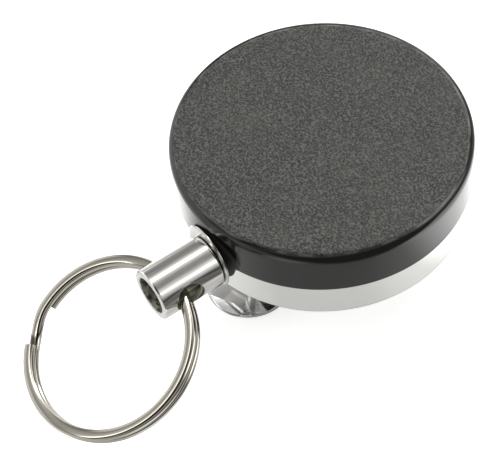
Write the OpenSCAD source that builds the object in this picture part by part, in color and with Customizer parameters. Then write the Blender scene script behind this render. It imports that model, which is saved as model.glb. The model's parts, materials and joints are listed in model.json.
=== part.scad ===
// Retractable badge reel: a round case with a spring-driven cord spool, a belt clip on its back,
// and a split ring in a tube at the cord's end.
// Millimetres. The origin is on the reel's axis, on the clip's resting face. +Z points to the front
// cover and -Y out of the nozzle.

/* [Case] */
// Outside diameter of the front cover
case_d = 40; // [36:0.5:46]
// Height of the cover's side, from its front face down to the cup's rim
cover_h = 7; // [6:0.1:8]
// Thickness of the cover's front wall
cover_wall = 1.6; // [1.2:0.1:2.4]
// Radius of the round edge around the cover's front face
cover_edge_r = 1.1; // [0.5:0.1:1.5]
// Depth of the cover's spigot inside the cup
spigot_depth = 2.4; // [1.5:0.1:3.5]
// Wall thickness of the cover's spigot
spigot_wall = 1.2; // [0.8:0.1:1.6]
// Radial gap between the spigot and the cup
spigot_gap = 0.05; // [0.03:0.01:0.1]
// How far the cup's side is set in from the cover's side
cup_inset = 0.3; // [0.1:0.05:0.5]
// Thickness of the cup's sheet metal
cup_wall = 0.8; // [0.6:0.1:1.2]
// Radius of the cup's outer bottom edge
cup_edge_r = 0.6; // [0.3:0.1:0.8]

/* [Nozzle] */
// Radius of the collar's outer flange, which lies sunk in the cover
flange_r = 2.9; // [2.8:0.05:3.2]
// Thickness of the collar's outer flange
flange_t = 0.5; // [0.4:0.05:0.6]
// Gap around the collar's flange in the cover
flange_gap = 0.1; // [0.05:0.01:0.2]
// Radius of the collar's neck, where it passes through the cover
neck_r = 2.4; // [2.3:0.05:2.8]
// Radius of the collar's rolled inner end
flare_r = 3.1; // [2.9:0.1:3.4]
// Thickness of the collar's rolled inner end
flare_t = 0.5; // [0.3:0.05:0.8]
// Radius of the round notch in the cup around the collar
notch_r = 3.4; // [3.2:0.1:4]
// Gap between the cover's nozzle boss and the notch
notch_gap = 0.1; // [0.05:0.05:0.2]
// How far the nozzle boss stands out of the cup's bore
boss_proud = 0.2; // [0:0.05:0.4]
// Outer radius of the cord guide in the collar
guide_r = 1.5; // [1.3:0.05:1.7]
// Bore radius of the cord guide
guide_bore_r = 0.8; // [0.7:0.05:1]
// Radius of the cord guide's rim inside the case
guide_rim_r = 2.4; // [2:0.1:2.8]
// Thickness of the cord guide's rim
guide_rim_t = 0.5; // [0.4:0.05:0.8]

/* [Cord and winding] */
// Diameter of the coated wire cord
cord_d = 1; // [0.8:0.1:1.2]
// Distance between neighbouring turns and between layers
wind_pitch = 1.45; // [1.42:0.01:1.7]
// Turns in each of the two layers
layer_turns = 3.5; // [2.5:1:4.5]
// How far the outer layer's centre lies inside the spool's rim
wind_inset = 1; // [0.8:0.1:1.4]

/* [Spool] */
// Thickness of the spool's two flanges
spool_flange_t = 0.8; // [0.6:0.1:1.2]
// Gap between the spool's rim and the cord guide
spool_run_gap = 0.7; // [0.4:0.1:1.2]
// Wall thickness of the drum
drum_wall = 1; // [0.8:0.1:1.4]
// Thickness of the lid over the spring
lid_t = 0.8; // [0.6:0.1:1.2]
// Width of the ledge that carries the lid
lid_ledge = 0.5; // [0.3:0.1:0.6]
// Radial gap around the lid
lid_gap = 0.04; // [0.02:0.01:0.1]
// Height of the spool's hub around its lower bush
hub_h = 1.6; // [1.2:0.1:2]
// Outer radius of the spool's hub
hub_r = 4.6; // [4.2:0.1:5.2]
// Outer radius of the two bushes
bush_r = 3.4; // [3.2:0.1:3.8]
// Running clearance of the bushes on the spindle
bush_run = 0.04; // [0.02:0.01:0.08]

/* [Spindle] */
// Radius of the spindle
spindle_r = 2.5; // [2.3:0.1:2.8]
// Length of the spindle's nose above the retainer
nose_h = 0.65; // [0.5:0.05:1]
// Gap between the spindle's nose and the cover's roof
roof_gap = 0.3; // [0.2:0.05:0.6]
// Thickness of the two thrust washers
washer_t = 0.4; // [0.3:0.05:0.6]
// Outer radius of the two thrust washers
washer_r = 5; // [4.4:0.1:6]
// Play between washers, spool and retainer
washer_gap = 0.05; // [0.03:0.01:0.1]
// Width of the retainer's groove
groove_w = 0.5; // [0.4:0.05:0.7]
// Depth of the retainer's groove
groove_depth = 0.6; // [0.4:0.05:0.8]
// Outer radius of the retainer
retainer_r = 4.4; // [3.8:0.1:5]
// Width of the slot that holds the spring's inner end
slot_w = 0.7; // [0.6:0.05:0.9]

/* [Power spring] */
// Thickness of the spring's strip
spring_t = 0.25; // [0.2:0.01:0.3]
// Turns of the spring
spring_turns = 8; // [5:1:10]
// Gap above and below the spring
spring_gap = 0.2; // [0.1:0.05:0.4]
// Gap between the spring's turns and the drum or the spindle
spring_room = 0.4; // [0.3:0.05:0.7]

/* [Belt clip] */
// Width of the clip's strip
clip_w = 11.8; // [9:0.1:14]
// Thickness of the clip's strip
clip_t = 0.75; // [0.6:0.05:1]
// Height of the clip, from its resting face to the case's back
clip_h = 6.1; // [5.9:0.1:7.5]
// Distance from the reel's axis to the clip's bend
bend_y = 12; // [9:0.1:14]
// Distance from the reel's axis to the clip's tip
tip_y = 20.4; // [18.5:0.1:24]
// Distance from the reel's axis to the crest of the clip's hump
hump_y = 8.9; // [8.5:0.1:10]
// Slope of the hump's sides in degrees
hump_slope = 80; // [70:1:85]
// Gap between the hump and the case's back
hump_gap = 0.15; // [0.1:0.05:0.4]
// Distance from the reel's axis to the front end of the clip's pad
pad_front = 4.5; // [3.5:0.1:5.5]
// Gap at the leaf's root
root_gap = 0.05; // [0.03:0.01:0.15]
// Radius of the rivet's shank
rivet_r = 1.25; // [1:0.05:1.5]
// Radius of the rivet's head
rivet_head_r = 2.6; // [2.2:0.1:3.2]
// Height of the rivet's head
rivet_head_h = 0.45; // [0.3:0.05:0.6]
// Length of the rivet inside the spindle
rivet_grip = 3.2; // [2:0.1:4]
// Clearance around the rivet and the locating pegs
peg_gap = 0.04; // [0.02:0.01:0.1]
// Radius of the two locating pegs on the clip's pad
peg_r = 0.8; // [0.6:0.05:1]
// Height of the locating pegs
peg_h = 0.6; // [0.4:0.05:0.7]
// Half the distance between the locating pegs
peg_x = 3.4; // [2.6:0.1:4]
// Distance from the reel's axis to the locating pegs
peg_y = 7; // [6:0.1:9]

/* [Cord end] */
// Outer radius of the end tube
tube_r = 3.55; // [3.2:0.05:4]
// Bore radius of the end tube
tube_bore_r = 2.55; // [2.2:0.05:2.8]
// Length of the end tube
tube_l = 9.1; // [8:0.05:11]
// Thickness of the end tube's inner wall
tube_floor = 1.68; // [1.4:0.02:2]
// Radius of the small round on the end tube's edges
tube_edge_r = 0.25; // [0.1:0.05:0.35]
// Radius of the cross hole for the split ring
cross_r = 2.1; // [2:0.05:2.3]
// Distance from the end tube's mouth to the cross hole
cross_back = 3.88; // [2.9:0.01:4.2]
// Radius of the bumper's round nose
nose_r = 1.85; // [1.6:0.05:2]
// Gap between the bumper's nose and the collar's socket
socket_gap = 0.1; // [0.05:0.01:0.15]
// Distance from the collar's face to the point the end rocks about
pivot_lift = 0.5; // [0.3:0.05:0.8]
// Distance from that point to the end tube
tube_stand = 0.53; // [0.5:0.01:0.9]
// Radius of the stop washer between the end tube and the case
stop_r = 4.4; // [4:0.05:4.8]
// Thickness of the stop washer
stop_t = 0.36; // [0.3:0.01:0.4]
// Radius of the stop washer's hole, loose around the bumper's nose
stop_hole_r = 2.55; // [2.5:0.05:2.8]
// How far the loose washer has slid to the side
stop_side = 0.35; // [0:0.05:0.4]
// How far the loose washer has slid up
stop_rise = 0.5; // [0:0.05:0.5]
// How far the cord's end leans to one side at rest, in degrees
lean = 8.5; // [0:0.5:10]
// Radius of the crimp on the cord's end
crimp_r = 1.4; // [1.1:0.05:1.8]
// Gap between the crimp and the split ring, however the ring swings
crimp_gap = 0.12; // [0.08:0.01:0.3]
// Thickness of the crimp's closed end
crimp_wall = 0.35; // [0.2:0.05:0.5]

/* [Split ring] */
// Outside diameter of the split ring
ring_d = 24.8; // [22:0.1:30]
// Radial width of the ring's wire
wire_w = 1.5; // [1.2:0.05:1.6]
// Thickness of the ring's wire
wire_t = 1.05; // [0.8:0.05:1.1]
// Gap between the ring's two coils
coil_gap = 0.05; // [0.03:0.01:0.1]
// Where the ring's step lies, counted round from the end tube, in degrees
step_at = 241.5; // [120:0.5:300]
// Length of the step, in degrees
step_span = 25; // [15:1:40]
// Angle between the ring's step and the two ends of its wire, in degrees
end_clear = 2; // [1:0.5:5]
// How far the ring's wire lies in front of the cross hole's axis
ring_front = 0.43; // [0.2:0.01:0.5]
// How far the loose ring has slid along the cross hole
ring_side = 0.3; // [0:0.05:0.4]

/* [Hidden] */
$fn = 64;
eps = 0.01;
reach = 100;
press_gap = 0.03;

case_r = case_d / 2;
cup_r = case_r - cup_inset;
cup_bore_r = cup_r - cup_wall;
spigot_r = cup_bore_r - spigot_gap;
cover_bore_r = spigot_r - spigot_wall;

// Heights, stacked from the clip's resting face to the cover's front face
winding_h = layer_turns * wind_pitch + cord_d;
winding_gap = 0.1;
case_z = clip_h;
floor_z = case_z + cup_wall;
spool_z = floor_z + washer_t + washer_gap;
drum_z = spool_z + spool_flange_t;
drum_top_z = drum_z + winding_h + 2 * winding_gap;
spool_top_z = drum_top_z + spool_flange_t;
top_washer_z = spool_top_z + washer_gap;
groove_z = top_washer_z + washer_t + washer_gap;
spindle_top_z = groove_z + groove_w + nose_h;
roof_z = spindle_top_z + roof_gap;
front_z = roof_z + cover_wall;
rim_z = front_z - cover_h;
nozzle_z = (drum_z + drum_top_z) / 2;

// Distances along the nozzle, out from the reel's axis
seat_gap = 0.05;
boss_r = cup_bore_r + boss_proud;
flange_s = boss_r + seat_gap;
pivot_s = flange_s + flange_t + pivot_lift;
flare_s = sqrt(pow(cover_bore_r, 2) - pow(flare_r, 2)) - seat_gap - flare_t;
guide_s = flare_s - guide_rim_t;
socket_r = nose_r + socket_gap;
guide_end_s = pivot_s - socket_r - seat_gap;

// Radii of the spool
spool_r = guide_s - spool_run_gap;
outer_layer_r = spool_r - wind_inset;
inner_layer_r = outer_layer_r - wind_pitch;
loop_steps = 24;
wind_sag = inner_layer_r * (1 - cos(180 / loop_steps));
drum_r = inner_layer_r - cord_d / 2 - wind_sag - seat_gap;
cavity_r = drum_r - drum_wall;
lid_seat_r = cavity_r + lid_ledge;
bush_bore_r = spindle_r + bush_run;
spring_z = spool_z + hub_h + spring_gap;
spring_top_z = spool_top_z - lid_t - spring_gap;

// Clip
clip_plan_r = clip_w / 2;
pad_z = case_z - clip_t;
hump_r = (case_z - hump_gap - clip_t) / (2 * (1 - cos(hump_slope)));

// Cord end and ring
wire_r = (ring_d - wire_w) / 2;
coil_lift = (wire_t + coil_gap) / 2;
cross_s = tube_stand + tube_l - cross_back;
crimp_s = tube_stand + tube_floor;
ring_reach = norm([wire_w / 2 - ring_front, coil_lift + wire_t / 2]);
crimp_l = cross_s - ring_reach - crimp_gap - crimp_s;
stop_s = tube_stand - seat_gap - stop_t;
stem_r = 1.2;
stem_l = 1.28;
rest_gap = 0.02;
fall_arm = 2 * wire_r + ring_front + wire_w / 2;
fall_rise = coil_lift + wire_t / 2;
ring_fall = asin((nozzle_z - rest_gap) / norm([fall_arm, fall_rise])) - atan(fall_rise / fall_arm);

// Frames

module along_nozzle() {
  translate([0, 0, nozzle_z]) rotate([90, 0, 0]) children();
}

module at_cord_end() {
  translate([0, -pivot_s, nozzle_z]) rotate([0, 0, -lean]) rotate([90, 0, 0]) children();
}

module at_ring() {
  at_cord_end() translate([0, 0, cross_s]) rotate([ring_fall - 90, 0, 0])
    translate([ring_side, -ring_front - wire_r, 0]) children();
}

// Shapes used more than once

module ring_solid(outer, inner, h) {
  difference() {
    cylinder(r = outer, h = h);
    translate([0, 0, -eps]) cylinder(r = inner, h = h + 2 * eps);
  }
}

function unit(v) = v / norm(v);
function square_to(n, d) = unit(n - (n * d) * d);
function headings(p) = let (last = len(p) - 1)
  [for (i = [0:last]) unit(p[min(i + 1, last)] - p[max(i - 1, 0)])];
function carried(d, n) =
  [for (i = 0, m = square_to(n, d[0]); i < len(d); i = i + 1, m = i < len(d) ? square_to(m, d[i]) : m) m];
function tube_rings(p, r, sides, n) = let (d = headings(p), m = carried(d, n))
  [for (i = [0:len(p) - 1]) [for (k = [0:sides - 1]) let (a = 360 * k / sides)
    p[i] + r * (cos(a) * m[i] + sin(a) * cross(d[i], m[i]))]];

// Closed solid through a row of rings that all have the same number of points
module skin(rings) {
  sides = len(rings[0]);
  last = len(rings) - 1;
  points = [for (ring = rings) each ring];
  walls = [for (i = [0:last - 1], k = [0:sides - 1])
    let (a = i * sides + k, b = i * sides + (k + 1) % sides)
    each [[a, a + sides, b], [b, a + sides, b + sides]]];
  start_cap = [for (k = [1:sides - 2]) [0, k, k + 1]];
  end_cap = [for (k = [1:sides - 2]) [last * sides, last * sides + k + 1, last * sides + k]];
  polyhedron(points = points, faces = concat(walls, start_cap, end_cap), convexity = 10);
}

// Case

module cover_profile() {
  translate([0, roof_z]) square([case_r - cover_edge_r, cover_wall]);
  translate([case_r - cover_edge_r, front_z - cover_edge_r]) circle(r = cover_edge_r);
  translate([cover_bore_r, rim_z]) square([case_r - cover_bore_r, cover_h - cover_edge_r]);
  translate([cover_bore_r, rim_z]) square([case_r - cover_edge_r - cover_bore_r, cover_h]);
  translate([cover_bore_r, rim_z - spigot_depth]) square([spigot_r - cover_bore_r, spigot_depth + eps]);
}

module nozzle_boss() {
  intersection() {
    along_nozzle() cylinder(r = notch_r - notch_gap, h = case_r);
    translate([0, 0, floor_z]) ring_solid(boss_r, cover_bore_r, rim_z - floor_z + eps);
  }
}

module front_cover() {
  socket_wall = 1.9;
  socket_h = 0.6;
  color([0.16, 0.16, 0.16]) difference() {
    union() {
      rotate_extrude() cover_profile();
      nozzle_boss();
      translate([0, 0, roof_z - socket_h])
        ring_solid(spindle_r + press_gap + socket_wall, spindle_r + press_gap, socket_h + eps);
    }
    along_nozzle() cylinder(r = neck_r + press_gap, h = reach);
    along_nozzle() translate([0, 0, boss_r]) cylinder(r = flange_r + flange_gap, h = reach);
  }
}

module cup_profile() {
  difference() {
    union() {
      translate([0, case_z]) square([cup_r - cup_edge_r, cup_wall]);
      translate([cup_r - cup_edge_r, case_z + cup_edge_r]) circle(r = cup_edge_r);
      translate([cup_bore_r, case_z + cup_edge_r]) square([cup_wall, rim_z - case_z - cup_edge_r]);
      translate([cup_bore_r - cup_edge_r, case_z + cup_edge_r]) square([2 * cup_edge_r, cup_wall - cup_edge_r]);
    }
    translate([-reach, floor_z]) square([reach + cup_bore_r, reach]);
  }
}

module case_cup() {
  color([0.82, 0.83, 0.85]) difference() {
    rotate_extrude() cup_profile();
    along_nozzle() cylinder(r = notch_r, h = reach);
    translate([-notch_r, -case_r, nozzle_z]) cube([2 * notch_r, case_r, cover_h]);
    translate([0, 0, case_z - eps]) cylinder(r = rivet_r + peg_gap, h = cup_wall + 2 * eps);
    for (x = [-peg_x, peg_x])
      translate([x, peg_y, case_z - eps]) cylinder(r = peg_r + peg_gap, h = cup_wall + 2 * eps);
  }
}

module collar_profile() {
  difference() {
    union() {
      translate([0, flange_s]) square([flange_r - flange_t / 2, flange_t]);
      translate([flange_r - flange_t / 2, flange_s + flange_t / 2]) circle(d = flange_t);
      translate([0, flare_s]) square([neck_r, flange_s - flare_s + eps]);
      translate([0, flare_s]) square([flare_r, flare_t]);
    }
    translate([-reach, 0]) square([reach + guide_r, reach]);
    translate([0, pivot_s]) circle(r = socket_r);
  }
}

module nozzle_collar() {
  color([0.82, 0.83, 0.85]) along_nozzle() rotate_extrude() collar_profile();
}

module cord_guide() {
  mouth_r = guide_rim_r - guide_bore_r;
  color([0.72, 0.58, 0.3]) along_nozzle() difference() {
    union() {
      translate([0, 0, guide_s]) cylinder(r = guide_r, h = guide_end_s - guide_s);
      translate([0, 0, guide_s]) cylinder(r = guide_rim_r, h = guide_rim_t);
    }
    cylinder(r = guide_bore_r, h = reach);
    rotate_extrude() translate([0, guide_s - eps]) difference() {
      square([guide_rim_r - seat_gap, mouth_r]);
      translate([guide_rim_r, mouth_r + eps]) circle(r = mouth_r);
    }
  }
}

// Spindle and what it carries

module spindle() {
  bore_spare = 0.3;
  color([0.6, 0.61, 0.63]) difference() {
    translate([0, 0, floor_z]) cylinder(r = spindle_r, h = spindle_top_z - floor_z);
    translate([0, 0, floor_z - eps]) cylinder(r = rivet_r + peg_gap, h = rivet_grip + bore_spare);
    translate([0, 0, groove_z]) ring_solid(spindle_r + 1, spindle_r - groove_depth, groove_w);
    translate([0, -slot_w / 2, spring_z - spring_gap])
      cube([spindle_r + 1, slot_w, spring_top_z - spring_z + 2 * spring_gap]);
  }
}

module spindle_retainer() {
  seat_r = spindle_r - groove_depth + press_gap;
  mouth_w = 1.7 * seat_r;
  color([0.35, 0.36, 0.38]) translate([0, 0, groove_z]) difference() {
    ring_solid(retainer_r, seat_r, groove_w - press_gap);
    translate([-mouth_w / 2, 0, -eps]) cube([mouth_w, reach, groove_w]);
  }
}

module lower_washer() {
  color([0.9, 0.88, 0.8]) translate([0, 0, floor_z])
    ring_solid(washer_r, spindle_r + washer_gap, washer_t);
}

module upper_washer() {
  color([0.9, 0.88, 0.8]) translate([0, 0, top_washer_z])
    ring_solid(washer_r, spindle_r + washer_gap, washer_t);
}

// Belt clip

module clip_plan(from, to) {
  translate([-clip_plan_r, from]) square([clip_w, to - from]);
  translate([0, from]) circle(r = clip_plan_r);
}

module clip_bend() {
  root_s = clip_t / 2 + root_gap;
  translate([-clip_plan_r, bend_y, case_z / 2]) rotate([0, 90, 0]) difference() {
    ring_solid(case_z / 2, case_z / 2 - clip_t, clip_w);
    translate([-reach, -reach, -eps]) cube([reach, reach, clip_w + 2 * eps]);
    translate([-eps, root_s - reach, -eps]) cube([reach, reach, clip_w + 2 * eps]);
  }
}

module clip_pad() {
  color([0.82, 0.83, 0.85]) {
    difference() {
      union() {
        translate([0, 0, pad_z]) linear_extrude(clip_t) clip_plan(clip_plan_r - pad_front, bend_y + eps);
        clip_bend();
      }
      translate([0, 0, pad_z - eps]) cylinder(r = rivet_r + peg_gap, h = clip_t + 2 * eps);
    }
    for (x = [-peg_x, peg_x])
      translate([x, peg_y, case_z - eps]) cylinder(r = peg_r, h = peg_h + eps);
  }
}

// One face of the leaf's side view, at a distance from the strip's middle
function leaf_face(off) = let (
    run = 2 * hump_r * sin(hump_slope),
    low = clip_t / 2 + hump_r,
    high = case_z - hump_gap - clip_t / 2 - hump_r,
    steps = 12)
  concat(
    [[-tip_y - 1, clip_t / 2 + off]],
    [for (i = [0:steps]) let (h = hump_slope * i / steps)
      [-hump_y - run, low] + (hump_r - off) * [sin(h), -cos(h)]],
    [for (i = [1:2 * steps - 1]) let (h = hump_slope * (1 - i / steps))
      [-hump_y, high] + (hump_r + off) * [-sin(h), cos(h)]],
    [for (i = [0:steps]) let (h = hump_slope * (i / steps - 1))
      [-hump_y + run, low] + (hump_r - off) * [sin(h), -cos(h)]],
    [[bend_y, clip_t / 2 + off]]);

function backwards(list) = [for (i = [len(list) - 1:-1:0]) list[i]];

module clip_leaf() {
  color([0.82, 0.83, 0.85]) intersection() {
    translate([-clip_plan_r, 0, 0]) rotate([90, 0, 90]) linear_extrude(clip_w) {
      polygon(concat(leaf_face(-clip_t / 2), backwards(leaf_face(clip_t / 2))));
      translate([bend_y, clip_t / 2]) circle(d = clip_t);
    }
    linear_extrude(case_z) clip_plan(clip_plan_r - tip_y, bend_y + clip_t);
  }
}

module clip_rivet() {
  color([0.75, 0.76, 0.78]) {
    translate([0, 0, pad_z - rivet_head_h]) cylinder(r = rivet_head_r, h = rivet_head_h);
    translate([0, 0, pad_z - eps]) cylinder(r = rivet_r, h = floor_z + rivet_grip - pad_z + eps);
  }
}

// Spool

module spool_drum() {
  hole_r = cord_d / 2 + 0.25;
  color([0.88, 0.88, 0.86]) difference() {
    rotate_extrude() polygon([
      [bush_r, spool_z], [spool_r, spool_z], [spool_r, drum_z], [drum_r, drum_z],
      [drum_r, drum_top_z], [spool_r, drum_top_z], [spool_r, spool_top_z], [lid_seat_r, spool_top_z],
      [lid_seat_r, spool_top_z - lid_t], [cavity_r, spool_top_z - lid_t], [cavity_r, drum_z],
      [hub_r, drum_z], [hub_r, spool_z + hub_h], [bush_r, spool_z + hub_h]]);
    translate([inner_layer_r * cos(anchor_at), inner_layer_r * sin(anchor_at), drum_top_z - eps])
      cylinder(r = hole_r, h = spool_flange_t + 2 * eps);
    rotate([0, 0, 360 * spring_turns]) translate([cavity_r - eps, -slot_w / 2, spring_z - spring_gap])
      cube([drum_wall / 2, slot_w, spring_top_z - spring_z + 2 * spring_gap]);
  }
}

module spring_lid() {
  color([0.88, 0.88, 0.86]) translate([0, 0, spool_top_z - lid_t])
    ring_solid(lid_seat_r - lid_gap, bush_r, lid_t);
}

module lower_bush() {
  color([0.72, 0.58, 0.3]) translate([0, 0, spool_z]) ring_solid(bush_r, bush_bore_r, hub_h);
}

module upper_bush() {
  color([0.72, 0.58, 0.3]) translate([0, 0, spool_top_z - lid_t]) ring_solid(bush_r, bush_bore_r, lid_t);
}

// A strip that winds out from the spindle's slot to the slot in the drum
module power_spring() {
  steps = 24;
  first_r = spindle_r + spring_room;
  last_r = cavity_r - spring_room;
  tail_in = spindle_r / 2;
  tail_out = cavity_r + drum_wall / 4;
  count = steps * spring_turns;
  half = spring_t / 2;
  function turn(i, off) = let (a = 360 * i / steps, r = first_r + (last_r - first_r) * i / count + off)
    [r * cos(a), r * sin(a)];
  color([0.45, 0.47, 0.5]) translate([0, 0, spring_z]) linear_extrude(spring_top_z - spring_z)
    polygon(concat([[tail_in, half], [tail_in, -half], [first_r + half, -half]],
      [for (i = [1:count - 1]) turn(i, half)],
      [[last_r + half, -half], [tail_out, -half], [tail_out, half], [last_r - half, half]],
      [for (i = [count - 1:-1:1]) turn(i, -half)], [[first_r - half, half]]));
}

// Cord

// The winding starts at the anchor on the upper flange, winds down in the inner layer, climbs at the
// bottom and winds up again in the outer layer, to the point where the cord leaves the spool.
wind_angle = 720 * layer_turns;
leave_at = -90 + acos(outer_layer_r / guide_s);
anchor_at = leave_at + wind_angle;
wind_low_z = drum_z + winding_gap + cord_d / 2;
anchor_bend = 0.9;

function wind_r(a) = let (t = min(max((a - wind_angle / 2 + 90) / 180, 0), 1))
  inner_layer_r + wind_pitch * t * t * (3 - 2 * t);
function wind_point(a) = let (h = anchor_at - a, r = wind_r(a))
  [r * cos(h), r * sin(h), wind_low_z + wind_pitch * abs(a - wind_angle / 2) / 360];
wind_start = anchor_bend / inner_layer_r * 180 / PI;
winding_path = concat(
  [for (a = [0:30:60]) let (p = wind_point(0), back = [sin(anchor_at), -cos(anchor_at), 0])
    p + anchor_bend * ((1 - cos(a)) * back + [0, 0, 1 - sin(a)])
    + [0, 0, a == 0 ? cord_d : 0]],
  [for (a = [wind_start:360 / loop_steps:wind_angle - 180 / loop_steps]) wind_point(a)],
  [wind_point(wind_angle)]);

function least_gap(p, skip) = min([for (i = [0:len(p) - 1 - skip])
  min([for (k = [i + skip:len(p) - 1]) norm(p[i] - p[k])])]) - cord_d;
echo("least gap of the winding to itself", least_gap(winding_path, loop_steps / 2));

lead_gap = 0.12;
lead_heading = unit(wind_point(wind_angle) - wind_point(wind_angle - 1));
lead_start = wind_point(wind_angle) + lead_gap * lead_heading;
lead_in = [0, -flare_s - flare_t, nozzle_z];
lead_pull = 8.2;
lead_turn = 2.6;
function lead_curve(t) = let (a = lead_start, b = a + lead_pull * lead_heading,
    d = lead_in, c = d + [0, lead_turn, 0])
  pow(1 - t, 3) * a + 3 * pow(1 - t, 2) * t * b + 3 * (1 - t) * t * t * c + pow(t, 3) * d;
end_heading = [-sin(lean), -cos(lean), 0];
pivot = [0, -pivot_s, nozzle_z];
lead_bend = 0.9;
lead_path = concat([for (t = [0:0.1:1]) lead_curve(t)],
  [pivot + [0, lead_bend, 0], pivot + lead_bend / 4 * (end_heading + [0, 1, 0]),
    pivot + lead_bend * end_heading, pivot + (crimp_s + crimp_l - crimp_wall - seat_gap) * end_heading]);

module cord_winding() {
  color([0.3, 0.3, 0.32]) skin(tube_rings(winding_path, cord_d / 2, 6, [0, 0, 1] + winding_path[0] / case_d));
}

module cord_anchor() {
  anchor_r = 1.1;
  anchor_h = 0.9;
  p = winding_path[0];
  color([0.7, 0.71, 0.73]) translate([p[0], p[1], spool_top_z]) ring_solid(anchor_r, cord_d / 2 + press_gap, anchor_h);
}

module cord_lead() {
  color([0.3, 0.3, 0.32]) skin(tube_rings(lead_path, cord_d / 2, 8, [0, 0, 1]));
}

// Cord end

module cord_crimp() {
  color([0.7, 0.71, 0.73]) at_cord_end() translate([0, 0, crimp_s]) difference() {
    cylinder(r = crimp_r, h = crimp_l);
    translate([0, 0, -eps]) cylinder(r = cord_d / 2 + press_gap, h = crimp_l - crimp_wall);
  }
}

module end_tube() {
  cord_hole_r = cord_d / 2 + 0.2;
  color([0.82, 0.83, 0.85]) at_cord_end() difference() {
    rotate_extrude() difference() {
      union() {
        translate([0, tube_stand]) square([tube_r - tube_edge_r, tube_l]);
        translate([0, tube_stand + tube_edge_r]) square([tube_r, tube_l - 2 * tube_edge_r]);
        for (s = [tube_stand + tube_edge_r, tube_stand + tube_l - tube_edge_r])
          translate([tube_r - tube_edge_r, s]) circle(r = tube_edge_r);
      }
      translate([-reach, crimp_s]) square([reach + tube_bore_r, reach]);
      translate([-reach, 0]) square([reach + stem_r, tube_stand + stem_l]);
      translate([-reach, 0]) square([reach + cord_hole_r, reach]);
    }
    translate([-reach, 0, cross_s]) rotate([0, 90, 0]) cylinder(r = cross_r, h = 2 * reach);
  }
}

module end_bumper() {
  bore_r = cord_d / 2 + 0.2;
  flare = 0.4;
  color([0.1, 0.1, 0.1]) at_cord_end() difference() {
    union() {
      intersection() {
        sphere(r = nose_r);
        translate([-reach, -reach, tube_stand - 2 * reach]) cube(2 * reach);
      }
      cylinder(r = stem_r - press_gap, h = tube_stand + stem_l);
    }
    translate([0, 0, -nose_r]) cylinder(r = bore_r, h = reach);
    translate([0, 0, -nose_r - eps]) cylinder(r1 = bore_r + flare, r2 = bore_r, h = nose_r);
  }
}

module stop_washer() {
  color([0.82, 0.83, 0.85]) at_cord_end() difference() {
    translate([-stop_side, stop_rise, stop_s]) rotate_extrude() {
      square([stop_r - stop_t / 2, stop_t]);
      translate([stop_r - stop_t / 2, stop_t / 2]) intersection() {
        circle(d = stop_t);
        translate([0, -stop_t]) square(2 * stop_t);
      }
    }
    translate([-stop_side, stop_rise, -reach]) cylinder(r = stop_hole_r, h = 2 * reach);
  }
}

// Split ring: two coils of flattened wire with one step between them

function wire_lift(a) = let (t = min(max((a - step_at) / step_span + 0.5, 0), 1))
  coil_lift * (2 * t * t * (3 - 2 * t) - 1);
function wire_section(a) = let (c = wire_t / 3, w = wire_w / 2, h = wire_t / 2, z = wire_lift(a))
  [for (q = [[w, h - c], [w - c, h], [c - w, h], [-w, h - c], [-w, c - h], [c - w, -h], [w - c, -h], [w, c - h]])
    [(wire_r + q[0]) * sin(a), (wire_r + q[0]) * cos(a), z + q[1]]];

module split_ring() {
  end_gap = step_span / 2 + end_clear;
  steps = 120;
  first = step_at + end_gap - 360;
  last = step_at - end_gap + 360;
  color([0.78, 0.78, 0.76]) at_ring()
    skin([for (i = [0:steps]) wire_section(first + (last - first) * i / steps)]);
}

front_cover();
case_cup();
nozzle_collar();
cord_guide();
spindle();
spindle_retainer();
lower_washer();
upper_washer();
clip_pad();
clip_leaf();
clip_rivet();
spool_drum();
spring_lid();
lower_bush();
upper_bush();
power_spring();
cord_winding();
cord_anchor();
cord_lead();
cord_crimp();
end_tube();
end_bumper();
stop_washer();
split_ring();
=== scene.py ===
"""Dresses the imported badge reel: smooth shells, plated finishes, grained plastic and a plain studio."""

import functools
import json
import math

import bmesh
import bpy
from bpy.props import FloatProperty, FloatVectorProperty, IntProperty, PointerProperty
from mathutils import Matrix, Vector


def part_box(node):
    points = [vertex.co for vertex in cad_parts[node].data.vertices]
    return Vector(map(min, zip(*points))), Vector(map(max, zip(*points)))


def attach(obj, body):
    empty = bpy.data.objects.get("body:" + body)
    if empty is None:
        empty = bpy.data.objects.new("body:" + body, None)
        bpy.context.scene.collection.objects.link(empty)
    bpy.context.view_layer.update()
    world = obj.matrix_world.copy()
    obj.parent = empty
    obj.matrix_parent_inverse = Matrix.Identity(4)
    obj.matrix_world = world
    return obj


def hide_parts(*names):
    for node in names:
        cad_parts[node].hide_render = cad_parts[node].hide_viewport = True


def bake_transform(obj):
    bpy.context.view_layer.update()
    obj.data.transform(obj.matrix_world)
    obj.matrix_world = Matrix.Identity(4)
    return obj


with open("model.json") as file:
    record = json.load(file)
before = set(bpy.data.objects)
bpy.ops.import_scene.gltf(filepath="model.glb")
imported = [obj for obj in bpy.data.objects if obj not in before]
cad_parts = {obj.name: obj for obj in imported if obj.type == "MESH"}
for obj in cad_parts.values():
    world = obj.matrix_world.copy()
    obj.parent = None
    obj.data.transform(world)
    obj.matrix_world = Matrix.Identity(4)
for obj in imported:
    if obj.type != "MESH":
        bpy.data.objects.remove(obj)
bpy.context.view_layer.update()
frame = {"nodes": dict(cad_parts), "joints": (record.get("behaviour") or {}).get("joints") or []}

bl_info = {
    "name": "Badge Reel Dresser",
    "version": (1, 0, 0),
    "blender": (4, 5, 0),
    "location": "View3D > Sidebar > Badge Reel",
    "description": "Builds the visible pieces of a retractable badge reel around its CAD frame",
    "category": "Object",
}

MM = 0.001

# Places taken from the frame

COVER_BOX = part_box("front_cover")
CUP_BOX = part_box("case_cup")
COLLAR_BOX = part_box("nozzle_collar")
JOINTS = {joint["name"]: joint for joint in frame["joints"]}

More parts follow.
